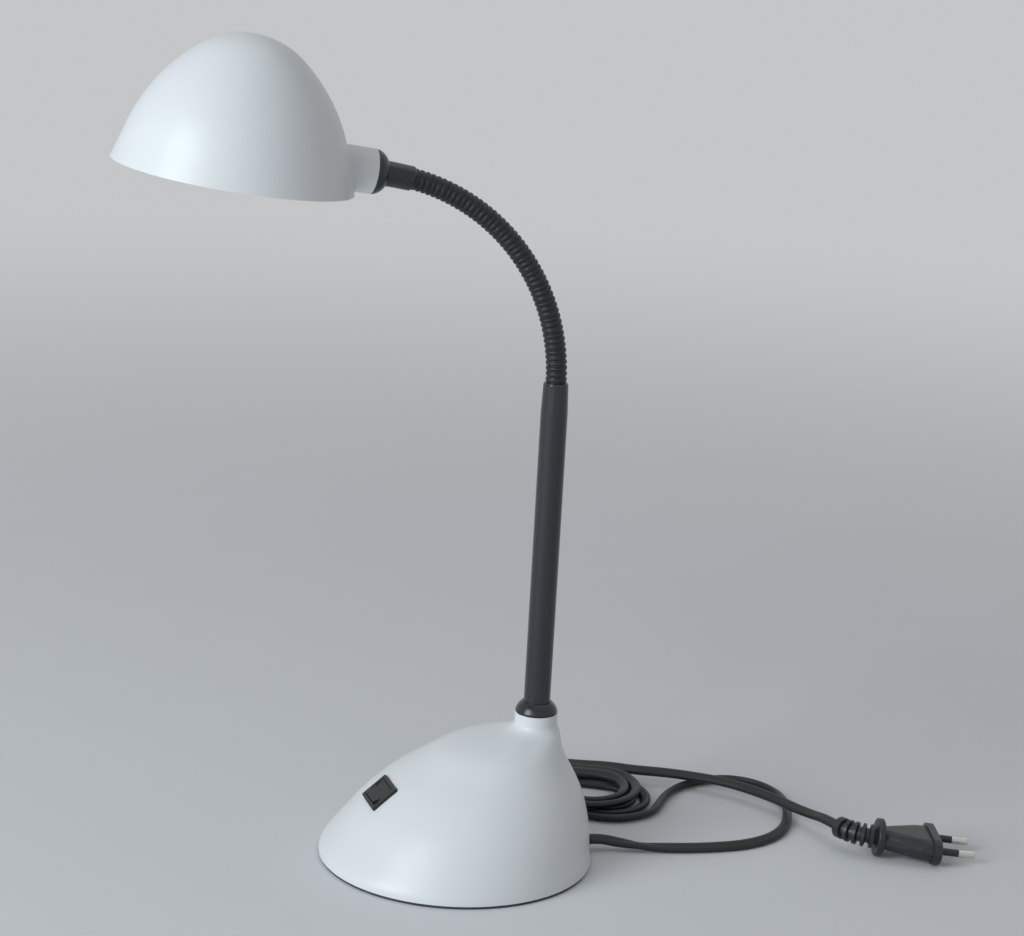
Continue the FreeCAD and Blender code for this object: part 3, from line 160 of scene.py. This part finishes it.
def loop_points(whole):
    """The points of one loop, each with its place in the whole winding."""
    points = []
    for share, angle in end_points:
        turns = whole + share
        shift = end_shifts[round(turns)]
        centre = half_run + shift if abs(angle) < 90 else -half_run
        reach = loop_reach(turns) * corner_reach
        a = math.radians(angle)
        place = hank_point(centre + reach * math.cos(a), reach * math.sin(a), loop_level(turns))
        points.append((turns, place))
    for share, along, drawn_in in run_points:
        turns = whole + share
        side = -1 if share < 0.5 else 1
        lift = waist_lift if along == 0 else 0
        place = hank_point(along, side * (loop_reach(turns) - drawn_in), loop_level(turns) + lift)
        points.append((turns, place))
    return points


stop_before_end = 0.02
loops = sorted(point for whole in range(math.ceil(winding)) for point in loop_points(whole))
loops = [place for turns, place in loops if turns < winding - stop_before_end]
print("points of the hank:", len(loops))

# %% [markdown]
# The cord still has to reach the hank and leave it again. It comes in along the table and
# goes out on top, each time by two points in line with the loop, so that the spline has no
# kink there. From the hank to the plug it then follows listed points.

# %% Ways into and out of the hank
way_in = (20.0, 5.0)
way_out = (5.0, 18.0)
first_side = half_run + end_shifts[0] + hank_outer
last_side = half_run + end_shifts[-1]
top_level = cord_low + layer_rise
lead_in = [hank_point(first_side, across, cord_low) for across in way_in]
lead_out = [hank_point(last_side + beyond, loop_reach(winding), top_level) for beyond in way_out]
print("points in and out:", len(lead_in + lead_out))

# %% Route from the hank to the plug
boot_start = Vector((203.7, -23.4, 11.5))
boot_way = Vector((0.267, -0.963, -0.02)).normalized()
straight_before_boot = 11
end_inside_boot = 2
route_to_plug = [
    (143, 75.5, 7.5), (157, 67, 7.6), (170, 56, 8.0), (181, 42, 7.9), (189, 26.5, 8.1),
    (194.5, 12, 8.2), (199.0, -1, 9.2),
    tuple(boot_start - boot_way * straight_before_boot), tuple(boot_start + boot_way * end_inside_boot),
]
route = route_from_base + lead_in + loops + lead_out + route_to_plug
cord_points = [Vector(place) * MM for place in route]
print("points of the whole cord:", len(cord_points))

# %% [markdown]
# The points are joined by a smooth curve. A Bezier curve would pass through every point
# and swing between them, so this one is a NURBS curve, which only leans towards its points
# and stays even. The curve is turned into a row of corners, and the row is kept.

# %% Smooth middle line


def smooth_line(name, points, fineness=8):
    """The points of one open spline that has the given points as its control points."""
    curve = bpy.data.curves.new(name, "CURVE")
    curve.dimensions = "3D"
    spline = curve.splines.new("NURBS")
    spline.points.add(len(points) - 1)
    for point, place in zip(spline.points, points):
        point.co = (place.x, place.y, place.z, 1.0)
    spline.order_u = 3
    spline.use_endpoint_u = True
    spline.resolution_u = fineness
    holder = bpy.data.objects.new(name, curve)
    bpy.context.scene.collection.objects.link(holder)
    bpy.context.view_layer.update()
    mesh = bpy.data.meshes.new_from_object(holder)
    line = [vertex.co.copy() for vertex in mesh.vertices]
    bpy.data.objects.remove(holder)
    bpy.data.meshes.remove(mesh)
    return line


cord_line = smooth_line("cord_line", cord_points)

# %% [markdown]
# Many pieces of this lamp are a row of rings: the cord, the ribs, the balls in the joints.
# A loft modifier or a screw could make some of them. Building the corners and faces by
# hand gives the same simple helper to all, and closes both ends with a flat face.

# %% Pieces from corners and from rings


def new_piece(name, verts, faces, smooth=True):
    """A mesh object from its corners and faces."""
    mesh = bpy.data.meshes.new(name)
    mesh.from_pydata([tuple(v) for v in verts], [], faces)
    mesh.update()
    if smooth:
        mesh.polygons.foreach_set("use_smooth", [True] * len(mesh.polygons))
    piece = bpy.data.objects.new(name, mesh)
    bpy.context.scene.collection.objects.link(piece)
    return piece


def ringed(name, rings):
    """A closed tube through rings of corners."""
    count = len(rings[0])
    verts = [corner for ring in rings for corner in ring]
    faces = []
    for i in range(len(rings) - 1):
        near = i * count
        far = near + count
        for k in range(count):
            n = (k + 1) % count
            faces.append((near + k, near + n, far + n, far + k))
    faces.append(tuple(range(count - 1, -1, -1)))
    faces.append(tuple(range(len(verts) - count, len(verts))))
    return new_piece(name, verts, faces)


# %% Carry an outline along a line


def line_ways(line):
    """The direction of the line at each of its points."""
    ways = []
    for i in range(len(line)):
        before = line[max(i - 1, 0)]
        after = line[min(i + 1, len(line) - 1)]
        ways.append((after - before).normalized())
    return ways


def sweep(name, line, outline, side_at):
    """One outline carried along a line. side_at gives the outline's wide direction."""
    rings = []
    for i, (place, way) in enumerate(zip(line, line_ways(line))):
        side = side_at(i, way)
        side = (side - way * side.dot(way)).normalized()
        thick = way.cross(side)
        rings.append([place + side * a + thick * b for a, b in outline])
    return ringed(name, rings)


# %% [markdown]
# The outline of the flex is two round lobes that meet at a shallow groove. Drawn as a
# plain oval it would look like tape. A real flex also never lies quite flat, so the
# outline leans a little, by an angle that changes slowly along the cord.

# %% Outline and lean of the flex
groove_width = math.radians(8)


def flex_outline(wide, thick, steps=9):
    """Two round lobes that touch, with a groove between them above and below."""
    lobe = thick / 2
    reach = wide / 2 - lobe
    meet = math.acos(min(1.0, reach / lobe)) + groove_width
    outline = []
    for k in range(steps):
        angle = -math.pi + meet + (2 * math.pi - 2 * meet) * k / (steps - 1)
        outline.append((reach + lobe * math.cos(angle), lobe * math.sin(angle)))
    outline += [(-a, -b) for a, b in outline]
    return outline


flex_ring = flex_outline(flex_wide, flex_thick)
walked = [0.0]
for a, b in zip(cord_line, cord_line[1:]):
    walked.append(walked[-1] + (b - a).length)
usual_lean = 0.60
slow_sway = (0.08, 31.0)
quick_sway = (0.06, 83.0)
flat_lean = 0.86
flat_at = 0.028
flat_reach = 0.009


def flex_lean(distance):
    """Lean of the flex in radians, at a length from the base. Near the base it lies flat."""
    sway = slow_sway[0] * math.sin(distance * slow_sway[1])
    sway += quick_sway[0] * math.sin(distance * quick_sway[1] + 1.0)
    flat_spot = flat_lean * math.exp(-((distance - flat_at) / flat_reach) ** 2)
    return usual_lean + sway - flat_spot


def flex_side(i, way):
    """The wide direction of the flex at ring i."""
    flat = Vector((0, 0, 1)).cross(way).normalized()
    return Matrix.Rotation(flex_lean(walked[i]), 3, way) @ flat


cord = sweep("cord", cord_line, flex_ring, flex_side)
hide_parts("cord_from_base", "cord_hank", "cord_to_plug")
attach(cord, "stand")
print("cord faces:", len(cord.data.polygons))

# %% [markdown]
# A soft strap holds the hank at its waist. It could be a stiff ring, but a real strap is
# pulled tight, so it touches the outer strands and runs straight from one to the next.
# First the places are found where the cord passes through the waist.

# %% Where the strands cross the waist of the hank
strands = []
for a, b in zip(cord_line, cord_line[1:]):
    before = (a / MM - hank_middle).dot(hank_along)
    after = (b / MM - hank_middle).dot(hank_along)
    if min(before, after) <= 0 < max(before, after):
        place = a.lerp(b, before / (before - after)) / MM
        strands.append(Vector(((place - hank_middle).dot(hank_across), place.z)))
print("strands under the strap:", len(strands))

# %% [markdown]
# The strap's line is found by asking, for each direction, which strand stands out
# furthest. The strap goes round once and a bit more, and its free end lies on its own
# first turn. Its four corners at each step make a thin flat band.

# %% Strap round the hank
strap_reach = 2.55
strap_thick = 0.6
strap_wide = 7.0
strap_start = 60
strap_turn = 430
strap_step = 5
lift_over = 25
band_sides = ((0, 1), (1, 3), (3, 2), (2, 0))
verts = []
faces = []
for degrees in range(0, strap_turn + 1, strap_step):
    angle = math.radians(strap_start + degrees)
    way = Vector((math.cos(angle), math.sin(angle)))
    furthest = max(strands, key=lambda strand: strand.dot(way))
    over = min(1.0, max(0.0, (degrees - 360 + lift_over) / lift_over))
    for reach in (strap_reach + strap_thick * over, strap_reach + strap_thick * (over + 1)):
        across, height = furthest + way * reach
        for side in (-0.5, 0.5):
            verts.append(Vector(hank_point(strap_wide * side, across, height)) * MM)
    if degrees:
        new = len(verts) - 4
        old = new - 4
        faces += [(old + a, old + b, new + b, new + a) for a, b in band_sides]
faces += [(0, 2, 3, 1), (new, new + 1, new + 3, new + 2)]
strap = new_piece("cord_strap", verts, faces, smooth=False)
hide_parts("cord_tie")
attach(strap, "stand")
print("strap corners:", len(verts))

# %% [markdown]
# The plug at the end is moulded in one piece with its ribbed sleeve, and the CAD solids
# already have its flanges, lips and ribs.

# %% [markdown]
# Finishes are all variations of one recipe: a Principled shader, a fine grain that
# lifts the surface a little, and a slow noise that changes the gloss from place to
# place. A photograph would carry the lamp's light with it, so the grain is made from
# noise in object space and sticks to each piece when it moves.

# %% Fine grain


def add_grain(tree, shader, place, scale, depth):
    """A fine noise that lifts the surface by up to depth."""
    fine = tree.nodes.new("ShaderNodeTexNoise")
    fine.inputs["Scale"].default_value = scale
    fine.inputs["Detail"].default_value = 2.0
    tree.links.new(place.outputs["Object"], fine.inputs["Vector"])
    bump = tree.nodes.new("ShaderNodeBump")
    bump.inputs["Distance"].default_value = depth
    tree.links.new(fine.outputs["Fac"], bump.inputs["Height"])
    tree.links.new(bump.outputs[0], shader.inputs["Normal"])


# %% Recipe for a finish
patch_scale = 22.0
coat_gloss = 0.12
smoothest = 0.02


def finish(name, colour, rough, grain=900.0, depth=0.00001, uneven=0.06, metal=0.0, shade=0.12, coat=0.0):
    """A material: colour with a slight change of shade, uneven gloss, and a fine grain."""
    material = bpy.data.materials.new(name)
    material.use_nodes = True
    tree = material.node_tree
    tree.nodes.clear()
    out = tree.nodes.new("ShaderNodeOutputMaterial")
    shader = tree.nodes.new("ShaderNodeBsdfPrincipled")
    tree.links.new(shader.outputs[0], out.inputs[0])
    shader.inputs["Metallic"].default_value = metal
    shader.inputs["Coat Weight"].default_value = coat
    shader.inputs["Coat Roughness"].default_value = coat_gloss
    place = tree.nodes.new("ShaderNodeTexCoord")

    slow = tree.nodes.new("ShaderNodeTexNoise")
    slow.inputs["Scale"].default_value = patch_scale
    slow.inputs["Detail"].default_value = 3.0
    tree.links.new(place.outputs["Object"], slow.inputs["Vector"])

    gloss = tree.nodes.new("ShaderNodeMapRange")
    gloss.inputs["To Min"].default_value = max(smoothest, rough - uneven)
    gloss.inputs["To Max"].default_value = min(1.0, rough + uneven)
    tree.links.new(slow.outputs["Fac"], gloss.inputs["Value"])
    tree.links.new(gloss.outputs[0], shader.inputs["Roughness"])

    tone = tree.nodes.new("ShaderNodeMix")
    tone.data_type = "RGBA"
    darker = [c * (1 - shade) for c in colour]
    tone.inputs[6].default_value = (*colour, 1.0)
    tone.inputs[7].default_value = (*darker, 1.0)
    tree.links.new(slow.outputs["Fac"], tone.inputs[0])
    tree.links.new(tone.outputs[2], shader.inputs["Base Color"])

    add_grain(tree, shader, place, grain, depth)
    return material


def dress(material, *names):
    """Give CAD nodes, or pieces made here, one finish all over."""
    for name in names:
        piece = cad_nodes[name] if isinstance(name, str) else name
        if not piece.material_slots:
            piece.data.materials.append(material)
        for place in piece.material_slots:
            place.material = material


# %% [markdown]
# The dome of the base and the shade are the same white plastic, moulded with a satin
# gloss. White plastic lets a little light in below its surface, which softens its
# shadows, so this finish adds a small subsurface weight.

# %% White plastic
white = (0.79, 0.81, 0.82)
white_plastic = finish("white_plastic", white, 0.34, grain=650.0, depth=0.000006, shade=0.015)
white_shader = white_plastic.node_tree.nodes["Principled BSDF"]
white_shader.inputs["Subsurface Weight"].default_value = 0.08
white_shader.inputs["Subsurface Radius"].default_value = (0.004, 0.004, 0.004)
white_shader.inputs["Subsurface Scale"].default_value = 0.5
dress(white_plastic, "base_shell", "shade")
print("white pieces: base_shell, shade")

# %% [markdown]
# The blacks differ in how they were made. The straight tube is lacquered metal, the
# rings and the sleeve are moulded, the neck and the cord are soft and duller, and the
# rocker has a fine matt grain. Only roughness, grain and the shade of black change.

# %% Black finishes
tube_lacquer = finish("tube_lacquer", (0.019, 0.021, 0.025), 0.27, grain=420.0, depth=0.000012, coat=0.3)
ring_plastic = finish("ring_plastic", (0.017, 0.018, 0.021), 0.24, grain=700.0, depth=0.000008, coat=0.2)
neck_cover = finish("neck_cover", (0.014, 0.015, 0.017), 0.40, grain=1100.0, depth=0.00001)
cord_sheath = finish("cord_sheath", (0.017, 0.018, 0.021), 0.44, grain=1500.0, depth=0.00001)
plug_moulding = finish("plug_moulding", (0.024, 0.026, 0.030), 0.36, grain=1800.0, depth=0.000014)
rocker_grain = finish("rocker_grain", (0.015, 0.015, 0.017), 0.42, grain=2600.0, depth=0.00002)
strap_weave = finish("strap_weave", (0.020, 0.020, 0.022), 0.85, grain=1600.0, depth=0.00012, shade=0.5)
foot_foam = finish("foot_foam", (0.055, 0.066, 0.088), 0.85, grain=1400.0, depth=0.00008, shade=0.4)
dress(tube_lacquer, "neck_tube")
dress(ring_plastic, "lower_ring", "head_collar", "head_sleeve")
dress(cord_sheath, cord, "cord_tail", "cord_bush")
dress(strap_weave, strap)
dress(plug_moulding, "plug_body", "plug_boot", "pin_sleeves")
dress(rocker_grain, "switch_body", "switch_rocker")
dress(foot_foam, "foot_pad")
print("black finishes: 8")

# %% [markdown]
# Metal and inner pieces are mostly hidden, but they show when the lamp is turned over
# or its shade is seen from below. Zinc-plated steel is grey and slightly patchy, cast
# iron is dark and rough, and nickel on the pins is bright.

# %% Metals and inner pieces
zinc = (0.52, 0.53, 0.54)
zinc_plate = finish("zinc_plate", zinc, 0.34, grain=300.0, depth=0.000008, metal=1.0, uneven=0.10)
pressed_steel = finish("pressed_steel", (0.46, 0.47, 0.48), 0.40, grain=200.0, depth=0.00001, metal=1.0)
cast_iron = finish("cast_iron", (0.07, 0.07, 0.075), 0.72, grain=260.0, depth=0.00015, metal=0.6)
bright_nickel = finish("bright_nickel", (0.72, 0.70, 0.66), 0.18, grain=300.0, depth=0.000004, metal=1.0)
warm_brass = finish("warm_brass", (0.66, 0.47, 0.20), 0.28, grain=300.0, depth=0.000006, metal=1.0)
cap_aluminium = finish("cap_aluminium", (0.70, 0.70, 0.69), 0.30, grain=300.0, depth=0.000006, metal=1.0)
holder_resin = finish("holder_resin", (0.030, 0.028, 0.028), 0.45, grain=500.0, depth=0.00001)
cap_insulator = finish("cap_insulator", (0.05, 0.05, 0.055), 0.35)
block_resin = finish("block_resin", (0.74, 0.73, 0.68), 0.50, grain=700.0, depth=0.00001)
wire_cover = finish("wire_cover", (0.66, 0.66, 0.64), 0.50, grain=900.0, depth=0.00001)
dress(zinc_plate, "base_screws", "ballast_bolt", "ballast_nut", "clamp_screws", "terminal_screws")
dress(zinc_plate, "lower_nipple", "lower_washer", "lower_nut", "head_nipple", "head_washer", "head_nut")
dress(pressed_steel, "base_plate")
dress(cast_iron, "ballast")
dress(bright_nickel, "plug_pins")
dress(warm_brass, "switch_tabs", "lampholder_thread", "lampholder_contact")
dress(cap_aluminium, "bulb_cap")
dress(holder_resin, "lampholder")
dress(cap_insulator, "bulb_tip")
dress(block_resin, "terminal_block", "cord_clamp")
dress(wire_cover, "inner_lead", "head_lead", "switch_wires")
print("metal and inner finishes: 10")

# %% [markdown]
# The bulb is frosted. Frosted glass can be real glass with a rough surface, but a pale
# translucent shell gives the same look with less noise, so light passes softly through
# a white that is slightly warm.

# %% Frosted glass
warm_white = (0.90, 0.89, 0.86)
frosted_glass = finish("frosted_glass", warm_white, 0.30, grain=2000.0, depth=0.000005, shade=0.02)
glass_shader = frosted_glass.node_tree.nodes["Principled BSDF"]
glass_shader.inputs["Transmission Weight"].default_value = 0.35
glass_shader.inputs["IOR"].default_value = 1.45
dress(frosted_glass, "bulb_glass")
print("glass lets through:", glass_shader.inputs["Transmission Weight"].default_value)

# %% [markdown]
# The neck bends, so it is made of short lengths that each ride on one CAD body. On the
# real lamp it is one ribbed cover over a steel coil. Ribs with straight flanks look
# turned on a lathe, so each rib here is a rounded bead between narrow valleys.

# %% Neck shape
neck_radius = 0.1045
neck_start = Vector((0.0398, 0, 0.250))
neck_centre = neck_start - Vector((neck_radius, 0, 0))
neck_angle = math.radians(76.0)
segment_count = 16
ribs_each = 3
rib_pitch = neck_radius * neck_angle / (segment_count * ribs_each)
rib_foot = 0.00195
rib_crest = 0.00535
rib_valley = 0.00475
bead_squareness = 2.2
around = 40
print("rib pitch:", round(rib_pitch / MM, 2), "mm")


def circle(middle, out, radius):
    """Corners of a circle that holds the direction out and the lamp's sideways direction."""
    ring = []
    for k in range(around):
        t = 2 * math.pi * k / around
        ring.append(middle + out * (radius * math.cos(t)) + Vector((0, radius * math.sin(t), 0)))
    return ring


def neck_place(along):
    """The middle of the neck, and the way out of its arc, at a length from the tube."""
    angle = along / neck_radius
    out = Vector((math.cos(angle), 0, math.sin(angle)))
    return neck_centre + out * neck_radius, out


def rib_radius_at(share):
    """Outline of one rib over its pitch: a rounded bead with a bit of valley on both sides."""
    off = abs(share - 0.5) * rib_pitch / (rib_foot / 2)
    lift = (1 - min(off, 1.0) ** bead_squareness) ** (1 / bead_squareness)
    return rib_valley + (rib_crest - rib_valley) * lift


# %% [markdown]
# A length of the neck is three beads in a row, closed at both ends. Its rings stand closer
# together at the foot of a bead, where the outline turns sharply. Each length replaces one
# plain CAD segment and rides on the same body.

# %% Segments of the neck
bead_steps = (0.0, 0.03, 0.08, 0.16, 0.28, 0.40, 0.5, 0.60, 0.72, 0.84, 0.92, 0.97, 1.0)
neck_pieces = []
for index in range(segment_count):
    start = index * ribs_each * rib_pitch
    rings = []
    for rib in range(ribs_each):
        for step in bead_steps:
            share = 0.5 + (step - 0.5) * rib_foot / rib_pitch
            middle, out = neck_place(start + (rib + share) * rib_pitch)
            rings.append(circle(middle, out, rib_radius_at(share)))
    piece = ringed("neck_ribs_%02d" % (index + 1), rings)
    body = "neck_%02d" % (index + 1) if index < segment_count - 1 else "head"
    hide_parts("neck_segment_%02d" % (index + 1))
    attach(piece, body)
    neck_pieces.append(piece)
print("neck segments:", len(neck_pieces))

# %% [markdown]
# Where two lengths meet, the valley between their ribs has to stay closed however the
# neck bends. A thin sleeve could stretch from one body to the next, but a slice of a ball
# round the pivot is steadier: it looks the same at every angle, and the edge of the next
# length slides over it.

# %% Balls in the joints
stem_bodies = ["stand"] + ["neck_%02d" % i for i in range(1, segment_count)]
ball_radius = 0.00474
ball_half_angle = 20
ball_step = 4
for index, body in enumerate(stem_bodies):
    pivot, out = neck_place(index * ribs_each * rib_pitch)
    ahead = Vector((-out.z, 0, out.x))
    rings = []
    for degrees in range(-ball_half_angle, ball_half_angle + 1, ball_step):
        tilt = math.radians(degrees)
        middle = pivot + ahead * (ball_radius * math.sin(tilt))
        rings.append(circle(middle, out, ball_radius * math.cos(tilt)))
    ball = ringed("neck_joint_%02d" % (index + 1), rings)
    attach(ball, body)
    neck_pieces.append(ball)
dress(neck_cover, *neck_pieces)
print("pieces of the neck:", len(neck_pieces))

# %% [markdown]
# Behind the lamp is a plain pale background. It could be a large sheet, but a sheet would
# throw its own light on the lamp. So only rays that are seen get the background tone: those
# from the camera, those off a shiny surface and those through glass. A small group of nodes
# tells them from the rays that carry light.

# %% Which rays see the background


def seen_rays(tree):
    """A node that is 1 for rays from the camera, from a reflection or through glass."""
    paths = tree.nodes.new("ShaderNodeLightPath")
    through = tree.nodes.new("ShaderNodeMath")
    through.operation = "MAXIMUM"
    tree.links.new(paths.outputs["Is Glossy Ray"], through.inputs[0])
    tree.links.new(paths.outputs["Is Transmission Ray"], through.inputs[1])
    seen = tree.nodes.new("ShaderNodeMath")
    seen.operation = "MAXIMUM"
    tree.links.new(paths.outputs["Is Camera Ray"], seen.inputs[0])
    tree.links.new(through.outputs[0], seen.inputs[1])
    return seen


background_tone = (0.55, 0.56, 0.57)
print("background tone:", background_tone)

# %% [markdown]
# The lamp stands on a plain pale table. A white sheet that curves up behind it would do,
# but one flat floor is simpler. Near the lamp it is a matt surface that takes the lamp's
# shadow, and further out it fades into the background tone.

# %% Floor
floor_half = 25.0
fade_from = 0.35
fade_to = 1.9
floor = new_piece("floor", [(-floor_half, -floor_half, 0), (floor_half, -floor_half, 0),
                            (floor_half, floor_half, 0), (-floor_half, floor_half, 0)], [(0, 1, 2, 3)])
floor_paint = finish("floor_paint", (0.78, 0.79, 0.80), 0.7, grain=200.0, depth=0.00002, shade=0.02)
tree = floor_paint.node_tree
surface = tree.nodes["Principled BSDF"]
out = tree.nodes["Material Output"]

place = tree.nodes.new("ShaderNodeTexCoord")
distance = tree.nodes.new("ShaderNodeVectorMath")
distance.operation = "LENGTH"
tree.links.new(place.outputs["Object"], distance.inputs[0])
fade = tree.nodes.new("ShaderNodeMapRange")
fade.interpolation_type = "SMOOTHSTEP"
fade.inputs["From Min"].default_value = fade_from
fade.inputs["From Max"].default_value = fade_to
tree.links.new(distance.outputs["Value"], fade.inputs["Value"])

share = tree.nodes.new("ShaderNodeMath")
share.operation = "MULTIPLY"
tree.links.new(fade.outputs[0], share.inputs[0])
tree.links.new(seen_rays(tree).outputs[0], share.inputs[1])
plain = tree.nodes.new("ShaderNodeEmission")
plain.inputs["Color"].default_value = (*background_tone, 1.0)
blend = tree.nodes.new("ShaderNodeMixShader")
tree.links.new(share.outputs[0], blend.inputs[0])
tree.links.new(surface.outputs[0], blend.inputs[1])
tree.links.new(plain.outputs[0], blend.inputs[2])
tree.links.new(blend.outputs[0], out.inputs[0])
dress(floor_paint, floor)
print("floor:", 2 * floor_half, "m wide")

# %% [markdown]
# The world is the soft light of a room. It shines evenly from all round and shows the
# background tone where a ray leaves the floor's edge. A picture of a room could be used,
# but a plain colour keeps the light the same from every side.

# %% World
glow_tone = (0.97, 0.98, 1.0)
glow_strength = 0.30
world = bpy.data.worlds.new("studio")
world.use_nodes = True
bpy.context.scene.world = world
tree = world.node_tree
tree.nodes.clear()
world_out = tree.nodes.new("ShaderNodeOutputWorld")
mix = tree.nodes.new("ShaderNodeMixShader")
backdrop = tree.nodes.new("ShaderNodeBackground")
backdrop.inputs["Color"].default_value = (*background_tone, 1.0)
glow = tree.nodes.new("ShaderNodeBackground")
glow.inputs["Color"].default_value = (*glow_tone, 1.0)
glow.inputs["Strength"].default_value = glow_strength
tree.links.new(seen_rays(tree).outputs[0], mix.inputs[0])
tree.links.new(glow.outputs[0], mix.inputs[1])
tree.links.new(backdrop.outputs[0], mix.inputs[2])
tree.links.new(mix.outputs[0], world_out.inputs[0])
print("world glow:", glow_strength)

# %% [markdown]
# The photograph's light comes softly from the left and is slightly blue, as from a window.
# One large lamp takes its place and gives the whites their slow change of tone. A tall
# thin lamp nearby draws the long highlight down the tube, and a weak lamp overhead
# softens the shadow.

# %% Lamps
daylight = (0.86, 0.94, 1.0)


def softbox(name, place, aim, wide, high, power):
    """A rectangular lamp that points at a place."""
    data = bpy.data.lights.new(name, "AREA")
    data.shape = "RECTANGLE"
    data.size = wide
    data.size_y = high
    data.energy = power
    data.color = daylight
    lamp = bpy.data.objects.new(name, data)
    bpy.context.scene.collection.objects.link(lamp)
    lamp.location = place
    lamp.rotation_euler = (Vector(aim) - Vector(place)).to_track_quat("-Z", "Y").to_euler()
    print(name, "lamp:", power, "W,", wide, "x", high, "m")


softbox("window", (-1.7, -0.7, 0.9), (0, 0, 0.2), 1.1, 1.3, 25.0)
softbox("overhead", (0.3, 0.3, 1.9), (0, 0, 0.1), 1.6, 1.6, 3.0)
softbox("strip", (-1.05, -1.35, 0.5), (0.04, 0, 0.2), 0.10, 1.2, 1.6)

# %% [markdown]
# The picture keeps colours as they are written, so the view transform is Standard.

# %% View transform
bpy.context.scene.view_settings.view_transform = "Standard"
